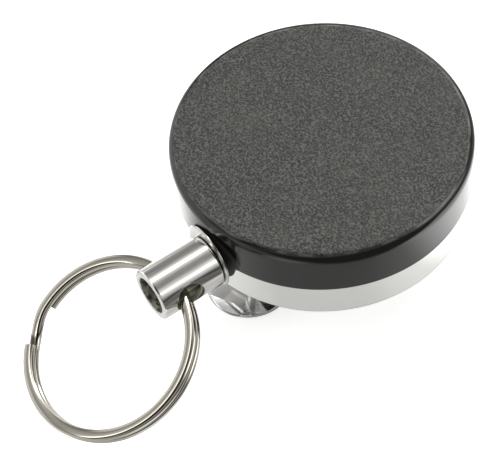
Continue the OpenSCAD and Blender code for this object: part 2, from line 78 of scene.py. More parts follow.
FRONT_Z = COVER_BOX[1].z
RIM_Z = CUP_BOX[1].z
CASE_Z = CUP_BOX[0].z
NOZZLE_Z = (COLLAR_BOX[0].z + COLLAR_BOX[1].z) / 2
FLANGE_FACE = -COLLAR_BOX[0].y
PIVOT = Vector(JOINTS["end_rock"]["pos_m"])
TUBE_AXIS = Vector(JOINTS["end_swivel"]["axis"]).normalized()
CROSS_POINT = Vector(JOINTS["ring_swing"]["pos_m"])
CROSS_AXIS = Vector(JOINTS["ring_swing"]["axis"]).normalized()

ORIGIN = Vector((0, 0, 0))
UP = Vector((0, 0, 1))
OUT = Vector((0, -1, 0))
NOZZLE = Vector((0, 0, NOZZLE_Z))
GRAIN_SIDE = Vector((0.687, -0.726, 0))

# Fits between pieces, and steps of the meshes

PEG_X, PEG_Y = 3.4 * MM, 7 * MM
PEG_R, PEG_HOLE_R = 0.8 * MM, 0.84 * MM
RIVET_PLAY = 0.04 * MM
SEAM_Y = 9 * MM
STRIP_EDGE = 0.12 * MM
CORD_BEND = 0.9 * MM
TURNED_SHARP, STRIP_SHARP, SWEPT_SHARP = 35, 40, 50
DRILL_STEPS, CUP_STEPS, RIVET_STEPS = 96, 256, 96
CORD_SIDES, COIL_STEPS, RUN_STEPS = 14, 420, 24
WIRE_POINTS, WIRE_CORNER, WIRE_CORNER_STEPS = 420, 0.52 * MM, 5

# The camera, as fitted to the outlines of the case

CAMERA_PLACE = Vector((108.713, -102.207, 199.353)) * MM
CAMERA_RIGHT = Vector((0.69286, 0.71845, -0.0614))
CAMERA_UP = Vector((-0.55411, 0.58499, 0.59224))
CAMERA_SENSOR, CAMERA_LENS, CAMERA_NEAR = 36.0, 129.6, 0.01

# The studio. Panels are (degrees around the end tube, level). Patches of the sky are (direction, cosine where
# they start, cosine where they are full, level outside, level inside). Patches of the floor are (place,
# radius where they start, radius where they are full, level) in millimetres.

PANELS = (
    (0, 0.11), (8, 0.11), (15, 0.36), (24, 0.75), (31, 0.7), (35, 0.8), (42, 0.8), (47, 0.28), (54, 0.19),
    (64, 0.09), (74, 0.07), (84, 0.09), (92, 0.15), (100, 0.24), (106, 1.0), (111, 1.0), (117, 0.26),
    (130, 0.1), (143, 0.07), (157, 0.065), (172, 0.11), (180, 0.15),
)
LIGHT_PATCHES = (
    ((-0.95, -0.31, 0), 0.72, 0.82, 1.0, 3.5),
    ((0.2, 0.53, 0.82), 0.955, 0.985, 0.0, 2.5),
)
DARK_PATCHES = (
    ((0.73, -0.685, 0), 0.33, 0.6, 1.0, 0.18),
    ((0.2, -0.45, 0.87), 0.81, 0.91, 1.0, 0.2),
    ((0.1, 0.99, 0.1), 0.88, 0.96, 1.0, 0.15),
)
FLOOR_PATCHES = (((20, -42, 0), 14, 5, 0.8), ((-20, -13, 0), 16, 6, 1.6))
FLOOR_HALF, FLOOR_Z = 1.5, -0.02 * MM
SKY_LEVEL, SKY_WARMTH, BACKDROP = 4.0, 0.985, 0.95


def length(name, description, millimetres):
    """A size, given in millimetres and kept in metres."""
    return FloatProperty(
        name=name, description=description, default=millimetres * MM, unit="LENGTH", precision=5
    )


def angle(name, description, degrees):
    """An angle, given in degrees and kept in radians."""
    return FloatProperty(name=name, description=description, default=math.radians(degrees), subtype="ANGLE")


def colour(name, description, default):
    """A colour of a finish."""
    return FloatVectorProperty(
        name=name, description=description, default=default, subtype="COLOR", size=3, min=0, max=1
    )


class ReelSizes(bpy.types.PropertyGroup):
    """Sizes of the reel's visible pieces."""

    case_r: length("Case radius", "Outside radius of the front cover", 20)
    cover_edge_w: length("Cover edge width", "How far the cover's round edge reaches in over the face", 0.9)
    cover_edge_h: length("Cover edge height", "How far the cover's round edge reaches down the side", 1.6)
    cover_wall: length("Cover wall", "Thickness of the cover's front wall", 1.6)
    cover_bore_r: length("Cover bore", "Inside radius of the cover", 17.65)
    spigot_r: length("Spigot", "Outside radius of the spigot inside the cup", 18.85)
    spigot_depth: length("Spigot depth", "Depth of the spigot inside the cup", 2.4)
    grain_r: length("Grained face", "Radius of the grained part of the face", 19.2)
    grain_shift: length("Grain shift", "How far the grained part lies off centre", 0.3)
    grain: length("Grain size", "Size of the moulded grain", 0.25)
    cup_inset: length("Cup inset", "How far the cup is set in from the cover", 0.3)
    cup_wall: length("Cup wall", "Thickness of the cup's sheet metal", 0.8)
    cup_edge_r: length("Cup edge", "Radius of the cup's bottom edge", 0.6)
    notch_r: length("Notch", "Radius of the cup's notch around the nozzle", 3.4)
    notch_gap: length("Notch gap", "Gap between the nozzle boss and the notch", 0.1)
    boss_r: length("Collar seat", "Distance from the reel's axis to the seat of the collar's flange", 19.1)
    flange_r: length("Flange", "Radius of the collar's sunk flange", 2.9)
    flange_t: length("Flange thickness", "Thickness of the collar's flange", 0.5)
    neck_r: length("Neck", "Radius of the collar's neck", 2.4)
    flare_r: length("Flare", "Radius of the collar's rolled inner end", 3.1)
    flare_t: length("Flare thickness", "Thickness of the collar's inner end", 0.5)
    guide_r: length("Guide seat", "Bore of the collar around the cord guide", 1.5)
    socket_r: length("Socket", "Radius of the collar's socket for the bumper", 1.95)
    tube_r: length("Tube", "Outside radius of the end tube", 3.55)
    tube_bore_r: length("Tube bore", "Bore radius of the end tube", 2.55)
    tube_start: length("Tube start", "Distance from the rocking point to the tube", 0.53)
    tube_l: length("Tube length", "Length of the end tube", 9.1)
    tube_floor: length("Tube floor", "Thickness of the tube's inner wall", 1.68)
    tube_edge_r: length("Tube edge", "Radius of the tube's edges", 0.25)
    stem_r: length("Stem hole", "Radius of the bumper's stem hole", 1.2)
    stem_l: length("Stem depth", "Depth of the bumper's stem hole", 1.28)
    cross_r: length("Cross hole", "Radius of the hole for the split ring", 2.1)
    stop_r: length("Washer", "Radius of the stop washer", 4.4)
    stop_t: length("Washer thickness", "Thickness of the stop washer", 0.36)
    stop_hole_r: length("Washer hole", "Radius of the stop washer's hole", 2.55)
    stop_s: length("Washer place", "Distance from the rocking point to the stop washer", 0.12)
    stop_side: length("Washer shift", "How far the loose washer has slid to the side", 0.35)
    stop_rise: length("Washer rise", "How far the loose washer has slid up", 0.5)
    wire_r: length("Ring radius", "Radius of the split ring at the middle of its wire", 11.65)
    wire_w: length("Wire width", "Radial width of the ring's wire", 1.5)
    wire_t: length("Wire thickness", "Thickness of the ring's wire", 1.05)
    coil_lift: length("Coil lift", "Height of each coil off the ring's middle", 0.55)
    ring_front: length("Ring forward", "How far the wire lies in front of the cross hole", 0.43)
    ring_side: length("Ring shift", "How far the loose ring has slid along the cross hole", 0.3)
    clip_w: length("Clip width", "Width of the belt clip", 11.8)
    clip_t: length("Clip thickness", "Thickness of the clip's strip", 0.75)
    bend_y: length("Clip bend", "Distance from the reel's axis to the clip's bend", 12)
    tip_y: length("Clip tip", "Distance from the reel's axis to the clip's tip", 20.4)
    pad_front: length("Pad front", "Distance from the reel's axis to the pad's front", 4.5)
    hump_y: length("Hump", "Distance from the reel's axis to the hump's crest", 8.9)
    hump_r: length("Hump radius", "Radius of the hump at the strip's middle", 3.14636)
    rivet_r: length("Rivet", "Radius of the rivet's shank", 1.25)
    rivet_head_r: length("Rivet head", "Radius of the rivet's head", 2.6)
    rivet_head_h: length("Rivet head height", "Height of the rivet's head", 0.45)
    rivet_grip: length("Rivet grip", "Length of the rivet inside the spindle", 3.2)
    cord_r: length("Cord", "Radius of the cord", 0.5)
    coil_r: length("Coil radius", "Radius of the cord's inner layer on the spool", 13.1756)
    coil_pitch: length("Coil pitch", "Distance between turns of the cord on the spool", 1.45)


class ReelAngles(bpy.types.PropertyGroup):
    """Angles and turns of the split ring, the belt clip and the cord."""

    ring_fall: angle("Ring fall", "How far the ring hangs below the tube's axis", 24.8617)
    step_at: angle("Ring step", "Where the step between the two coils lies", 241.5)
    step_span: angle("Step span", "Length of the step", 25)
    end_clear: angle("End gap", "Angle between the step and the wire's ends", 2)
    hump_slope: angle("Hump slope", "Slope of the hump's sides", 80)
    cord_leave: angle("Cord leaves", "Where the cord leaves the spool", -63.62)
    layer_turns: FloatProperty(
        name="Layer turns", description="Turns of cord in each layer on the spool", default=3.5, min=1
    )
    turns: IntProperty(name="Round steps", description="Steps around each turned piece", default=192, min=24)


class ReelColours(bpy.types.PropertyGroup):
    """Colours of the finishes and the studio."""

    face: colour("Grained face", "Colour of the cover's grained face", (0.051, 0.0505, 0.046))
    edge: colour("Smooth edge", "Colour of the cover's smooth edge and side", (0.0105, 0.010, 0.0085))
    plate: colour("Bright plate", "Colour of the plated metal", (0.86, 0.855, 0.825))
    tube: colour("Tube plate", "Colour of the end tube's plating", (0.85, 0.84, 0.805))
    bore: colour("Tube bore", "Colour of the bare metal in the end tube", (0.32, 0.315, 0.275))
    clip: colour("Clip plate", "Colour of the belt clip", (0.72, 0.72, 0.73))
    nickel: colour("Nickel", "Colour of the split ring", (0.49, 0.465, 0.41))
    steel: colour("Turned steel", "Colour of the turned steel", (0.60, 0.60, 0.61))
    blued: colour("Spring steel", "Colour of the spring strip", (0.20, 0.22, 0.27))
    brass: colour("Brass", "Colour of the brass bushes", (0.74, 0.55, 0.24))
    nylon: colour("Nylon", "Colour of the spool and the washers", (0.78, 0.76, 0.70))
    rubber: colour("Rubber", "Colour of the bumper", (0.022, 0.022, 0.022))
    cord: colour("Cord", "Colour of the coated cord", (0.085, 0.085, 0.09))
    floor: colour("Floor", "Colour of the floor", (0.86, 0.86, 0.855))
    light: FloatProperty(name="Light", description="Strength of the studio's light", default=1.0, min=0)


def sizes():
    return bpy.context.scene.reel_sizes


def angles():
    return bpy.context.scene.reel_angles


def colours():
    return bpy.context.scene.reel_colours


# Meshes


def add_object(name, data):
    """An object at the origin of the scene."""
    obj = bpy.data.objects.new(name, data)
    bpy.context.scene.collection.objects.link(obj)
    return obj


def shade(obj, sharp=TURNED_SHARP):
    """Smooth faces, with hard edges above an angle in degrees."""
    obj.data.polygons.foreach_set("use_smooth", [True] * len(obj.data.polygons))
    obj.data.set_sharp_from_angle(angle=math.radians(sharp))
    return obj


def fill_mesh(mesh, bm):
    """Puts a bmesh in a mesh with its faces outwards, and uses it up."""
    bmesh.ops.recalc_face_normals(bm, faces=bm.faces[:])
    bm.to_mesh(mesh)
    bm.free()


def new_piece(name, bm, sharp=TURNED_SHARP):
    """Turns a bmesh into an object, smooth but for its sharp edges."""
    mesh = bpy.data.meshes.new(name)
    fill_mesh(mesh, bm)
    return shade(add_object(name, mesh), sharp)


def applied_mesh(obj):
    """A plain mesh of an object as its modifiers make it; the modifiers are removed."""
    graph = bpy.context.evaluated_depsgraph_get()
    mesh = bpy.data.meshes.new_from_object(obj.evaluated_get(graph))
    obj.modifiers.clear()
    return mesh


def cut(obj, tool, operation="DIFFERENCE"):
    """Cuts, joins or intersects a piece with a tool, which is used up."""
    modifier = obj.modifiers.new("cut", "BOOLEAN")
    modifier.operation = operation
    modifier.solver = "EXACT"
    modifier.object = tool
    old = obj.data
    obj.data = applied_mesh(obj)
    bpy.data.meshes.remove(old)
    bpy.data.objects.remove(tool)
    obj.data.name = obj.name


def basis(x_axis, y_axis, z_axis, origin):
    """The matrix whose columns are three axes and an origin."""
    matrix = Matrix((x_axis, y_axis, z_axis)).transposed().to_4x4()
    matrix.translation = origin
    return matrix


def along_nozzle():
    """A frame whose Z runs out of the nozzle from the reel's axis."""
    return basis(Vector((1, 0, 0)), UP, OUT, NOZZLE)


def along_tube():
    """A frame whose Z runs along the end tube from the point it rocks about."""
    return basis(CROSS_AXIS, UP, TUBE_AXIS, PIVOT)


def at_pegs():
    """The places of the two pegs that keep the clip from turning."""
    return [Matrix.Translation((x, PEG_Y, 0)) for x in (-PEG_X, PEG_X)]


def clamp(value, low=0.0, high=1.0):
    return min(max(value, low), high)


def arc(centre, radius, start, stop, steps):
    """Points on an arc, angles in degrees."""
    turn = [math.radians(start + (stop - start) * i / steps) for i in range(steps + 1)]
    return [(centre[0] + radius * math.cos(a), centre[1] + radius * math.sin(a)) for a in turn]


def lathe(name, profile, place=None, steps=None):
    """A closed turned piece from a closed profile of (radius, height) points."""
    steps = steps or angles().turns
    place = place or Matrix.Identity(4)
    bm = bmesh.new()
    rings = []
    for radius, height in profile:
        count = 1 if radius < 1e-9 else steps
        turn = [2 * math.pi * k / steps for k in range(count)]
        points = [Vector((radius * math.cos(a), radius * math.sin(a), height)) for a in turn]
        rings.append([bm.verts.new(place @ point) for point in points])
    for ring, above in zip(rings, rings[1:] + rings[:1]):
        for k in range(steps):
            corners = [ring[k % len(ring)], ring[(k + 1) % len(ring)],
                       above[(k + 1) % len(above)], above[k % len(above)]]
            corners = list(dict.fromkeys(corners))
            if len(corners) > 2:
                bm.faces.new(corners)
    return new_piece(name, bm)


def drill(radius, start, stop, place=None):
    """A round tool for cut()."""
    return lathe("tool", [(0, start), (radius, start), (radius, stop), (0, stop)], place, DRILL_STEPS)


# Node trees


class Nodes:
    """A node tree, with short calls for the nodes that the finishes, the studio and the sweeps use."""

    def __init__(self, tree, space=None):
        self.tree = tree
        if space:
            self.coords = self.add("ShaderNodeTexCoord").outputs[space]

    def join(self, value, socket):
        """Sets an input from an output or a plain value."""
        if isinstance(value, bpy.types.NodeSocket):
            self.tree.links.new(value, socket)
        elif value is not None:
            socket.default_value = value

    def add(self, kind, inputs=None, **settings):
        """Adds a node with its settings and inputs."""
        node = self.tree.nodes.new(kind)
        for name, value in settings.items():
            setattr(node, name, value)
        for name, value in (inputs or {}).items():
            self.join(value, node.inputs[name])
        return node

    def math(self, operation, *values):
        return self.add("ShaderNodeMath", dict(enumerate(values)), operation=operation).outputs[0]

    def times(self, *values):
        return functools.reduce(functools.partial(self.math, "MULTIPLY"), values)

    def plus(self, *values):
        return functools.reduce(functools.partial(self.math, "ADD"), values)

    def vector(self, operation, a, b=None):
        """A Vector Math node that gives a vector or, where the operation has one, a number."""
        node = self.add("ShaderNodeVectorMath", {0: a, 1: b}, operation=operation)
        number = operation in ("DOT_PRODUCT", "LENGTH", "DISTANCE")
        return node.outputs["Value" if number else "Vector"]

    def parts(self):
        """X, Y and Z of the coordinates."""
        return self.add("ShaderNodeSeparateXYZ", {0: self.coords}).outputs

    def point(self, **parts):
        """A vector from its X, Y and Z."""
        return self.add("ShaderNodeCombineXYZ", parts).outputs[0]

    def about(self, axis, origin):
        """Distances of the coordinates along an axis and out from it."""
        off = self.vector("SUBTRACT", self.coords, origin)
        out = self.vector("CROSS_PRODUCT", off, axis)
        return self.vector("DOT_PRODUCT", off, axis), self.vector("LENGTH", out)

    def span(self, value, low, high, to_low=0.0, to_high=1.0, smooth=False):
        """Maps a value from one range to another, clamped."""
        return self.add("ShaderNodeMapRange", {
            "Value": value, "From Min": low, "From Max": high, "To Min": to_low, "To Max": to_high,
        }, clamp=True, interpolation_type="SMOOTHSTEP" if smooth else "LINEAR").outputs["Result"]

    def noise(self, size, detail=2.0, rough=0.5, at=None):
        """Noise whose features have a size in metres, on the coordinates or on another vector."""
        vector = self.coords if at is None else at
        return self.add("ShaderNodeTexNoise", {
            "Vector": vector, "Scale": 1 / size, "Detail": detail, "Roughness": rough}).outputs["Fac"]

    def mix(self, factor, low, high):
        """Mixes two colours, each a plain colour or an output."""
        node = self.add("ShaderNodeMix", {"Factor": factor}, data_type="RGBA")
        for name, value in (("A", low), ("B", high)):
            self.join(value, next(s for s in node.inputs if s.name == name and s.type == "RGBA"))
        return next(s for s in node.outputs if s.type == "RGBA")


class Finish(Nodes):
    """A procedural material with its shader and Object coordinates."""

    def __init__(self, name):
        self.material = bpy.data.materials.new(name)
        self.material.use_nodes = True
        super().__init__(self.material.node_tree, "Object")
        self.shader = next(n for n in self.tree.nodes if n.type == "BSDF_PRINCIPLED")

    def put(self, name, value):
        """Sets an input of the shader."""
        self.join(value, self.shader.inputs[name])

    def source(self, name):
        """The output that feeds an input of the shader."""
        return self.shader.inputs[name].links[0].from_socket

    def bump(self, height, depth):
        """Joins a height to the shader's normal; depth in metres."""
        node = self.add("ShaderNodeBump", {"Height": height, "Distance": depth, "Strength": 1.0})
        self.put("Normal", node.outputs["Normal"])


# Finishes


def tint(base, factor):
    """A colour made lighter or darker, with its alpha."""
    return (*(min(1.0, c * factor) for c in base[:3]), 1.0)


def shared(name, make):
    """A material that several pieces share."""
    return bpy.data.materials.get(name) or make()


def grained_plastic():
    """Dark moulded plastic: grained on the face, smooth and glossier on the edge and side; painted lighter
    and made rougher around the nozzle, as painted light in the washer's shade, with a broken painted
    highlight along the face's rim."""
    f, s, c = Finish("cover_plastic_grain"), sizes(), colours()
    radius = f.about(UP, GRAIN_SIDE * s.grain_shift)[1]
    inside = f.span(radius, s.grain_r + 0.12 * MM, s.grain_r - 0.2 * MM, smooth=True)
    on_top = f.span(f.parts()["Z"], FRONT_Z - 0.6 * MM, FRONT_Z - 0.4 * MM)
    face = f.times(inside, on_top)
    cells = f.add("ShaderNodeTexVoronoi", {"Vector": f.coords, "Scale": 1 / s.grain, "Smoothness": 0.35},
                  feature="SMOOTH_F1")
    grain = f.plus(f.times(cells.outputs["Distance"], 0.7), f.noise(s.grain * 1.3, 3.0, 0.6))
    patch = f.noise(7 * MM)
    speck = f.span(grain, 0.65, 1.15, -0.68, 0.68)
    speck_level = f.span(f.noise(4 * MM), 0.35, 0.65, 0.72, 1.0)
    tone = f.math("MULTIPLY_ADD", speck, speck_level, f.span(patch, 0.3, 0.7, 0.46, 0.54))
    face_colour = f.mix(tone, tint(c.face, 0.0), tint(c.face, 2.0))
    # Painted light: within a few millimetres of the washer the side's colour is lifted sevenfold, where the
    # washer shades it; the same mask also makes the side rougher there.
    outward, around = f.about(OUT, NOZZLE)
    painted_light_rough_near_nozzle = f.times(f.span(outward, 0.0, 10 * MM),
                     f.span(around, s.stop_r + 0.7 * MM, s.stop_r - 0.2 * MM, smooth=True))
    smooth_colour = f.mix(patch, tint(c.edge, 0.85), tint(c.edge, 1.15))
    smooth_colour = f.mix(painted_light_rough_near_nozzle, smooth_colour, tint(c.edge, 7.0))
    # Painted highlight: a lighter line, broken by noise, along the rim of the grained face.
    off_rim = f.math("ABSOLUTE", f.math("SUBTRACT", radius, s.grain_r))
    rim = f.times(f.span(off_rim, 0.16 * MM, 0.04 * MM), on_top, f.span(f.noise(2 * MM, 3.0), 0.42, 0.62))
    f.put("Base Color", f.mix(rim, f.mix(face, smooth_colour, face_colour), tint(c.face, 2.6)))
    smear = f.span(f.noise(3 * MM, 3.0), 0.3, 0.7, 0.12, 0.18)
    smooth_rough = f.math("MULTIPLY_ADD", painted_light_rough_near_nozzle, 0.3, smear)
    face_rough = f.span(grain, 0.5, 1.3, 0.52, 0.68)
    rough = f.add("ShaderNodeMix", {"Factor": face, "A": smooth_rough, "B": face_rough}, data_type="FLOAT")
    f.put("Roughness", rough.outputs[0])
    f.put("IOR", 1.5)
    f.bump(f.times(grain, face), 0.08 * MM)
    return f.material


def metal(name, base, rough, lines, depth, mottle=0.06, ripple=0.0):
    """A metal with fine lines, soft mottling and a slight ripple, between two values of roughness."""
    f = Finish(name)
    cloud = f.noise(2.4 * MM, 3.0)
    fine = lines(f)
    f.put("Base Color", f.mix(cloud, tint(base, 1 - mottle), tint(base, 1 + mottle)))
    f.put("Metallic", 1.0)
    f.put("Roughness", f.span(f.plus(f.times(cloud, 0.5), f.times(fine, 0.5)), 0.3, 0.7, *rough))
    f.bump(f.plus(fine, f.times(f.noise(4 * MM, 1.0), ripple)) if ripple else fine, depth)
    return f


def even_lines(f):
    """Fine marks without a direction."""
    return f.noise(0.25 * MM)


def turned_lines(axis, origin, pitch):
    """Fine lines round an axis, as turning leaves them."""
    def lines(f):
        along, radius = f.about(axis, origin)
        return f.noise(pitch, at=f.point(X=along, Y=radius))
    return lines


def brushed_lines(scale):
    """Fine straight lines, long in the axis with the smallest scale."""
    def lines(f):
        drawn = f.add("ShaderNodeMapping", {"Vector": f.coords, "Scale": scale})
        return f.noise(0.3 * MM, at=drawn.outputs["Vector"])
    return lines


def dull_bore(f):
    """Streaks the tube's metal, and dulls it inside its bore and cross hole, where plating doesn't reach."""
    s, c = sizes(), colours()
    along, radius = f.about(TUBE_AXIS, PIVOT)
    across, side = f.about(CROSS_AXIS, CROSS_POINT)
    outside = f.times(f.span(radius, s.tube_bore_r + 0.03 * MM, s.tube_bore_r + 0.1 * MM),
                      f.span(side, s.cross_r + 0.02 * MM, s.cross_r + 0.1 * MM))
    stain = f.span(f.noise(0.6 * MM, 3.0), 0.36, 0.64)
    stained = f.mix(stain, tint(c.bore, 0.3), tint(c.bore, 1.7))
    rings = f.span(f.noise(0.5 * MM, 1.0, at=f.point(X=across)), 0.4, 0.6)
    turned = f.mix(rings, tint(c.bore, 0.8), tint(c.bore, 3.0))
    dull = f.mix(f.span(along, 7.6 * MM, 8.6 * MM), turned, stained)
    drawn = f.point(X=f.times(along, 0.12), Y=across, Z=f.parts()["Z"])
    streak = f.span(f.noise(0.35 * MM, 3.0, at=drawn), 0.3, 0.7)
    bright = f.mix(streak, tint(c.tube, 0.82), f.source("Base Color"))
    f.put("Base Color", f.mix(outside, dull, bright))
    f.put("Roughness", f.math("MAXIMUM", f.source("Roughness"), f.span(outside, 0.0, 1.0, 0.5, 0.0)))


def coil_painted_shade(f, normal, centre):
    """Painted shade: darkens the line where the two coils of the ring touch, where shade falls between them.
    """
    off = f.math("ABSOLUTE", f.about(normal, centre)[0])
    unshaded = f.span(off, 0.03 * MM, 0.16 * MM, smooth=True)
    f.put("Base Color", f.mix(unshaded, tint(colours().nickel, 0.22), f.source("Base Color")))


def moulded(name, base, rough, grain, depth, spread):
    """A moulded finish with colour drift and a fine surface."""
    f = Finish(name)
    drift, fine = f.noise(3 * MM, 3.0), f.noise(grain, 3.0)
    f.put("Base Color", f.mix(drift, tint(base, 1 - spread), tint(base, 1 + spread)))
    f.put("Roughness", f.span(fine, 0.3, 0.7, *rough))
    f.bump(fine, depth)
    return f


def coated_cord():
    """Twisted wire strands under a thin dark coat."""
    f, base = Finish("coated_cord"), colours().cord
    strand = f.add("ShaderNodeTexWave", {"Vector": f.coords, "Scale": 260, "Distortion": 0.4},
                   wave_type="BANDS", bands_direction="DIAGONAL").outputs["Fac"]
    drift = f.noise(2 * MM)
    f.put("Base Color", f.mix(f.times(strand, drift), tint(base, 0.6), tint(base, 2.2)))
    f.put("Metallic", 0.35)
    f.put("Roughness", f.span(drift, 0.3, 0.7, 0.28, 0.42))
    f.bump(strand, 0.03 * MM)
    return f.material


def lathe_steel():
    """Turned steel of the rivet and the pieces inside."""
    lines = turned_lines(UP, ORIGIN, 0.12 * MM)
    return metal("lathe_steel", colours().steel, (0.20, 0.34), lines, 0.003 * MM).material


def dress(obj, material):
    obj.data.materials.clear()
    obj.data.materials.append(material)


def place_piece(obj, body, slot, *nodes):
    """Sets a piece on its body in the place of CAD nodes."""
    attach(obj, body)
    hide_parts(*nodes)


# Geometry Nodes


class Sweep(Nodes):
    """A Geometry Nodes tree that sweeps a section along a curve, with named inputs for its sizes."""

    def __init__(self, name, inputs):
        super().__init__(bpy.data.node_groups.new(name, "GeometryNodeTree"))
        for label, kind in (*inputs, ("Material", "Material")):
            self.tree.interface.new_socket(name=label, in_out="INPUT", socket_type="NodeSocket" + kind)
        self.tree.interface.new_socket(name="Geometry", in_out="OUTPUT", socket_type="NodeSocketGeometry")
        self.inputs = self.add("NodeGroupInput").outputs

    def finish(self, curve, section):
        """Makes the sweep and ends the tree in Realize Instances and Set Material."""
        made = self.add("GeometryNodeCurveToMesh", {
            "Curve": curve, "Profile Curve": section, "Fill Caps": True})
        for kind in ("GeometryNodeSetShadeSmooth", "GeometryNodeRealizeInstances", "GeometryNodeSetMaterial"):
            made = self.add(kind, {"Geometry": made.outputs[0]})
        self.join(self.inputs["Material"], made.inputs["Material"])
        self.add("NodeGroupOutput", {"Geometry": made.outputs[0]})
        return self.tree


def ring_tree():
    """Two flat coils of wire with one step between them, around Z."""
    labels = ("Radius", "Width", "Thickness", "Corner", "Lift", "First", "Last", "Step low", "Step high")
    tree = Sweep("Split ring coils", [*((label, "Float") for label in labels), ("Points", "Int")])
    size = tree.inputs
    line = tree.add("GeometryNodeCurvePrimitiveLine")
    path = tree.add("GeometryNodeResampleCurve", {"Curve": line.outputs[0], "Count": size["Points"]})
    share = tree.add("GeometryNodeSplineParameter").outputs["Factor"]
    turn = tree.span(share, 0.0, 1.0, size["First"], size["Last"])
    low = tree.times(size["Lift"], -1.0)
    place = tree.point(
        X=tree.times(tree.math("SINE", turn), size["Radius"]),
        Y=tree.times(tree.math("COSINE", turn), size["Radius"]),
        Z=tree.span(turn, size["Step low"], size["Step high"], low, size["Lift"], smooth=True))
    moved = tree.add("GeometryNodeSetPosition", {"Geometry": path.outputs[0], "Position": place})
    level = tree.add("GeometryNodeSetCurveNormal", {"Curve": moved.outputs[0]}, mode="Z_UP")
    flat = tree.add("GeometryNodeCurvePrimitiveQuadrilateral", {
        "Width": size["Width"], "Height": size["Thickness"]})
    rounded = tree.add("GeometryNodeFilletCurve", {
        "Curve": flat.outputs[0], "Radius": size["Corner"], "Count": WIRE_CORNER_STEPS}, mode="POLY")
    return tree.finish(level.outputs[0], rounded.outputs[0])


def cord_tree():
    """A round cord along a curve."""
    tree = Sweep("Cord along a path", [("Path", "Geometry"), ("Radius", "Float"), ("Sides", "Int")])
    section = tree.add("GeometryNodeCurvePrimitiveCircle", {
        "Radius": tree.inputs["Radius"], "Resolution": tree.inputs["Sides"]})
    return tree.finish(tree.inputs["Path"], section.outputs[0])


def grow(obj, tree, values):
    """Runs a tree on an object and keeps the result as a plain mesh object."""
    modifier = obj.modifiers.new("grow", "NODES")
    modifier.node_group = tree
    for item in tree.interface.items_tree:
        if item.in_out == "INPUT" and item.name in values:
            modifier[item.identifier] = values[item.name]
    name, mesh = obj.name, applied_mesh(obj)
    bpy.data.objects.remove(obj)
    bm = bmesh.new()
    bm.from_mesh(mesh)
    fill_mesh(mesh, bm)
    mesh.name = name
    return shade(add_object(name, mesh), SWEPT_SHARP)


def sweep_cord(name, points):
    """The cord along a path of points."""
    curve = bpy.data.curves.new(name, "CURVE")
    curve.dimensions = "3D"
    spline = curve.splines.new("POLY")
    spline.points.add(len(points) - 1)
    for target, point in zip(spline.points, points):
        target.co = (*point, 1)
    tree = bpy.data.node_groups.get("Cord along a path") or cord_tree()
    return grow(add_object(name, curve), tree, {
        "Radius": sizes().cord_r, "Sides": CORD_SIDES, "Material": shared("coated_cord", coated_cord)})


# Strips


def strip_piece(name, outline, edge, cuts, end, bend):
    """A bent strip. outline gives (x, run, nx, nrun) points round the flat plate, edge(point) the list of
    (inset, height) of its rounded edge, cuts the lines (x, run, nx, nrun) where it may bend, end the run
    where it is cut off, and bend(x, run, height) the place."""
    bm = bmesh.new()
    pairs = [edge(point) for point in outline]
    loops = []
    for k in range(len(pairs[0])):
        loops.append([
            bm.verts.new((x - nx * pair[k][0], run - nrun * pair[k][0], pair[k][1]))
            for (x, run, nx, nrun), pair in zip(outline, pairs)
        ])
    for low, high in zip(loops, loops[1:]):
        for k in range(len(low)):
            n = (k + 1) % len(low)
            bm.faces.new((low[k], low[n], high[n], high[k]))
    bm.faces.new(loops[0][::-1])
    bm.faces.new(loops[-1])

    def split(x, run, nx, nrun, **options):
        return bmesh.ops.bisect_plane(bm, geom=bm.verts[:] + bm.edges[:] + bm.faces[:], dist=1e-8,
                                      plane_co=(x, run, 0), plane_no=(nx, nrun, 0), **options)

    for line in cuts:
        split(*line)
    made = split(0, end, 0, -1, clear_outer=True)
    bmesh.ops.holes_fill(bm, edges=[e for e in made["geom_cut"] if isinstance(e, bmesh.types.BMEdge)])
    for vertex in bm.verts:
        vertex.co = bend(*vertex.co)
    return new_piece(name, bm, STRIP_SHARP)


def strip_outline(half, front, back, steps):
    """Outline of a strip with a round end at front (the larger run) and a square end at back."""
    centre = front - half
    points = [(half, back, 1.0, 0.0), (half, (back + centre) / 2, 1.0, 0.0)]
    for i in range(steps + 1):
        a = math.pi * i / steps
        points.append((half * math.cos(a), centre + half * math.sin(a), math.cos(a), math.sin(a)))
    return points + [(-half, (back + centre) / 2, -1.0, 0.0), (-half, back, -1.0, 0.0)]


def round_edge(thickness, top, bottom, steps):
    """(inset, height) pairs from the bottom face round the edge to the top face."""
    half = thickness / 2
    turn = [math.pi / 2 * i / steps for i in range(steps + 1)]
    pairs = [(bottom * (1 - math.sin(a)), -half + bottom * (1 - math.cos(a))) for a in turn]
    return pairs + [(top * (1 - math.cos(a)), half - top + top * math.sin(a)) for a in turn]


# Operators


class PieceOperator:
    """What the operators of the pieces share."""

    bl_options = {"REGISTER", "UNDO"}

    def execute(self, context):
        self.build()
        return {"FINISHED"}


